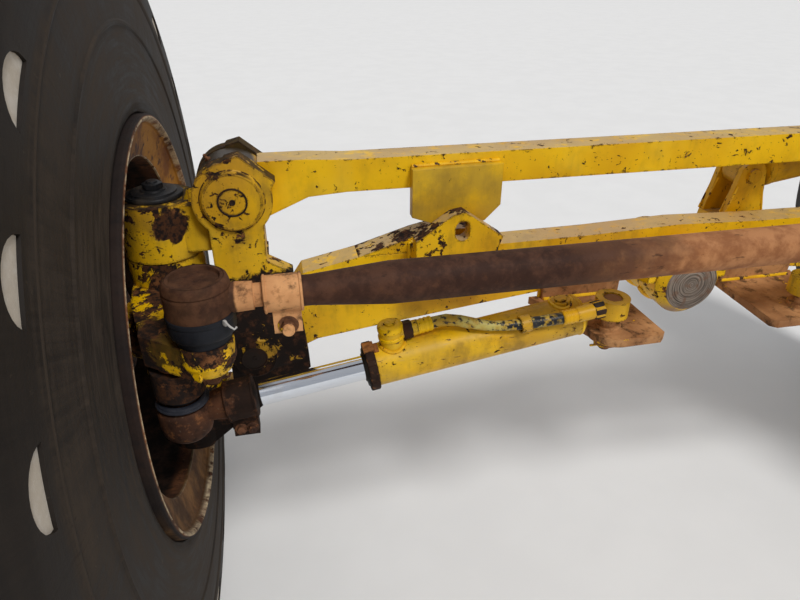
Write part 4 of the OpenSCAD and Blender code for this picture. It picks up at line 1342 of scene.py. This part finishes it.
class AXLE_OT_yokes(bpy.types.Operator):
    """Cut the lower corners off the yokes' plates"""

    bl_idname = "axle.yokes"
    bl_label = "Trim the yokes"

    def execute(self, context):
        for word, side in SIDES:
            shape = Shape()
            mesh = shape.mesh
            mesh.from_mesh(NODES[f"{word}_yoke"].data)
            bmesh.ops.remove_doubles(mesh, verts=mesh.verts, dist=1e-6)
            corner, end = spot(683, 0, -76, side), spot(838, 0, -200, side)
            outward = (end - corner).cross(Vector((0, 1, 0)))
            if outward.z > 0:
                outward = -outward
            parts = mesh.verts[:] + mesh.edges[:] + mesh.faces[:]
            bmesh.ops.bisect_plane(mesh, geom=parts, plane_co=corner, plane_no=outward, clear_outer=True)
            rim = [edge for edge in mesh.edges if edge.is_boundary]
            if not rim:
                raise RuntimeError(f"nothing was cut off {word}_yoke")
            bmesh.ops.holes_fill(mesh, edges=rim, sides=0)
            if any(edge.is_boundary for edge in mesh.edges):
                raise RuntimeError(f"{word}_yoke is left open")
            bmesh.ops.dissolve_limit(mesh, angle_limit=math.radians(0.4), verts=mesh.verts, edges=mesh.edges)
            body = f"{word}_yoke"
            shape.done(f"{word}_yoke_looks", body, "yoke paint", "yellow_cast", [f"{word}_yoke"], 30)
        return {"FINISHED"}


# weld beads as size and places: lock bracket, base brackets, lean cylinder bracket, lock plate and rod eye
LOCK_WELDS = [
    (4.2, [
        (367, -26.5, 62), (367, -26.5, 126), (370, -26.5, 129.5),
        (500, -26.5, 129.5), (504, -26.5, 126), (504.5, -26.5, 62),
    ]),
    (4.2, [(368, -26.5, 59), (502, -26.5, 59)]),
    (3.4, [(368, -50, 129.5), (502, -50, 129.5)]),
]
BASE_WELDS = [
    (4.0, [
        (107, -26.5, -14), (107, -26.5, 54), (110, -26.5, 56),
        (256, -26.5, 56), (259, -26.5, 54), (259, -26.5, -14),
    ]),
    (4.0, [(110, -40.5, -1), (256, -40.5, -1)]),
]
LEAN_WELDS = [(4.0, [(137, 27, 93.5), (233, 27, 93.5)]), (4.0, [(135, 27, 48.5), (235, 27, 48.5)])]
for cheek in (37, 49, 95, 107):
    LEAN_WELDS += [(2.2, [(140, cheek, 93), (158, cheek, 158)]), (2.2, [(230, cheek, 93), (212, cheek, 158)])]
PLATE_WELDS = [
    (3.6, [(358, -27, 259.5), (430, -27, 258.8), (502, -27, 257.6)]),
    (3.4, [(358, -23.5, 221), (502, -23.5, 221)]),
]
EYE_WELDS = [(3.4, [(590, 27, 272), (670, 27, 272)]), (3.4, [(590, 27, 224), (670, 27, 224)])]
# arcs of weld round the pivot bosses, in degrees
PIVOT_ARCS = ((32, 148), (212, 328))


class AXLE_OT_welds(bpy.types.Operator):
    """Lay the weld beads on the beam, the brackets and the bar"""

    bl_idname = "axle.welds"
    bl_label = "Lay the welds"

    def execute(self, context):
        draw = random.Random(BEAM_SEED)
        beam = Shape()
        # the lock bracket is on the left only
        beads(beam, LOCK_WELDS, draw, -1)
        for side in (-1, 1):
            beads(beam, BASE_WELDS, draw, side)
        beads(beam, LEAN_WELDS, draw)
        for way in (-1, 1):
            disc = at((0, 0, PIVOT_Z), (0, way, 0))
            for arc in PIVOT_ARCS:
                bead(beam, circle_points(disc, 64.5, 26.5, 4.5, *map(math.radians, arc)), 4.4, draw)
        beam.done("beam_welds", "axle", "weld", "yellow_steel")
        bar = Shape()
        beads(bar, PLATE_WELDS, draw, -1)
        beads(bar, EYE_WELDS, draw)
        bar.done("bar_welds", "lean_bar", "weld", "yellow_steel")
        return {"FINISHED"}


# Stage

FLOOR_HALF = 150.0
# name, place, width of its disc in degrees, power
LAMPS = (
    ("key light", (1.1, -2.4, 3.6), 14, 1.75),
    ("fill light", (-2.8, -2.4, 2.4), 60, 0.35),
    ("back light", (0.5, 3.6, 3.0), 50, 0.30),
)
SKY = (0.93, 0.95, 1.0, 1.0)
SKY_POWER = 0.44


class AXLE_OT_stage(bpy.types.Operator):
    """Make the floor, the soft lights and the camera"""

    bl_idname = "axle.stage"
    bl_label = "Set the stage"

    def execute(self, context):
        settings = context.scene.axle_stage
        scene = context.scene
        low, half = CAD_BOX[0].z, FLOOR_HALF
        mesh = bpy.data.meshes.new("floor")
        corners = [(-half, -half, low), (half, -half, low), (half, half, low), (-half, half, low)]
        mesh.from_pydata(corners, [], [(0, 1, 2, 3)])
        floor = bpy.data.objects.new("floor", mesh)
        scene.collection.objects.link(floor)
        f = Finish("floor")
        cloud = f.mix(f.spots(5, 0.3, 0.7, 4, 0.5), settings.floor, [c * 0.97 for c in settings.floor])
        mesh.materials.append(f.finish(Base_Color=cloud, Roughness=0.85))

        # a soft sky, with the floor's colour behind the piece
        world = bpy.data.worlds.new("studio")
        scene.world = world
        world.use_nodes = True
        nodes, links = world.node_tree.nodes, world.node_tree.links
        soft = nodes["Background"]
        soft.inputs[0].default_value = SKY
        soft.inputs[1].default_value = SKY_POWER
        backdrop = nodes.new("ShaderNodeBackground")
        backdrop.inputs[0].default_value = (*settings.floor, 1.0)
        path = nodes.new("ShaderNodeLightPath")
        either = nodes.new("ShaderNodeMath")
        either.operation = "MAXIMUM"
        pick = nodes.new("ShaderNodeMixShader")
        links.new(path.outputs["Is Camera Ray"], either.inputs[0])
        links.new(path.outputs["Is Transmission Ray"], either.inputs[1])
        links.new(either.outputs[0], pick.inputs[0])
        links.new(soft.outputs[0], pick.inputs[1])
        links.new(backdrop.outputs[0], pick.inputs[2])
        links.new(pick.outputs[0], nodes["World Output"].inputs[0])
        for name, place, width, power in LAMPS:
            lamp = bpy.data.lights.new(name, "SUN")
            lamp.angle = math.radians(width)
            lamp.energy = power
            holder = bpy.data.objects.new(name, lamp)
            scene.collection.objects.link(holder)
            holder.location = place
            holder.rotation_euler = (-Vector(place)).to_track_quat("-Z", "Y").to_euler()

        lens = bpy.data.cameras.new("camera")
        lens.lens = settings.lens
        lens.sensor_width = 36.0
        lens.clip_start = 0.02
        lens.clip_end = 400.0
        camera = bpy.data.objects.new("camera", lens)
        scene.collection.objects.link(camera)
        camera.location = settings.place
        camera.rotation_euler = (math.pi / 2 - settings.pitch, 0.0, -settings.turn)
        scene.camera = camera
        scene.view_settings.view_transform = "Standard"
        return {"FINISHED"}


class AXLE_PT_panel(bpy.types.Panel):
    bl_label = "Grader axle"
    bl_idname = "AXLE_PT_panel"
    bl_space_type = "VIEW_3D"
    bl_region_type = "UI"
    bl_category = "Grader axle"

    def draw(self, context):
        for step in STEPS:
            self.layout.operator(step.bl_idname)
        for group, holder in GROUPS.items():
            for key in holder.__annotations__:
                self.layout.prop(getattr(context.scene, group), key)


GROUPS = {"axle_paint": PaintSettings, "axle_rubber": RubberSettings, "axle_stage": StageSettings}
STEPS = (
    AXLE_OT_stage, AXLE_OT_paint, AXLE_OT_tyres, AXLE_OT_hoses, AXLE_OT_cylinders,
    AXLE_OT_joints, AXLE_OT_wheels, AXLE_OT_yokes, AXLE_OT_welds,
)
CLASSES = (*GROUPS.values(), *STEPS, AXLE_PT_panel)


def register():
    for made in CLASSES:
        bpy.utils.register_class(made)
    for name, holder in GROUPS.items():
        setattr(bpy.types.Scene, name, PointerProperty(type=holder))


def unregister():
    for name in GROUPS:
        delattr(bpy.types.Scene, name)
    for made in reversed(CLASSES):
        bpy.utils.unregister_class(made)


def main():
    register()
    for step in STEPS:
        family, name = step.bl_idname.split(".")
        getattr(getattr(bpy.ops, family), name)()


if __name__ == "__main__":
    main()
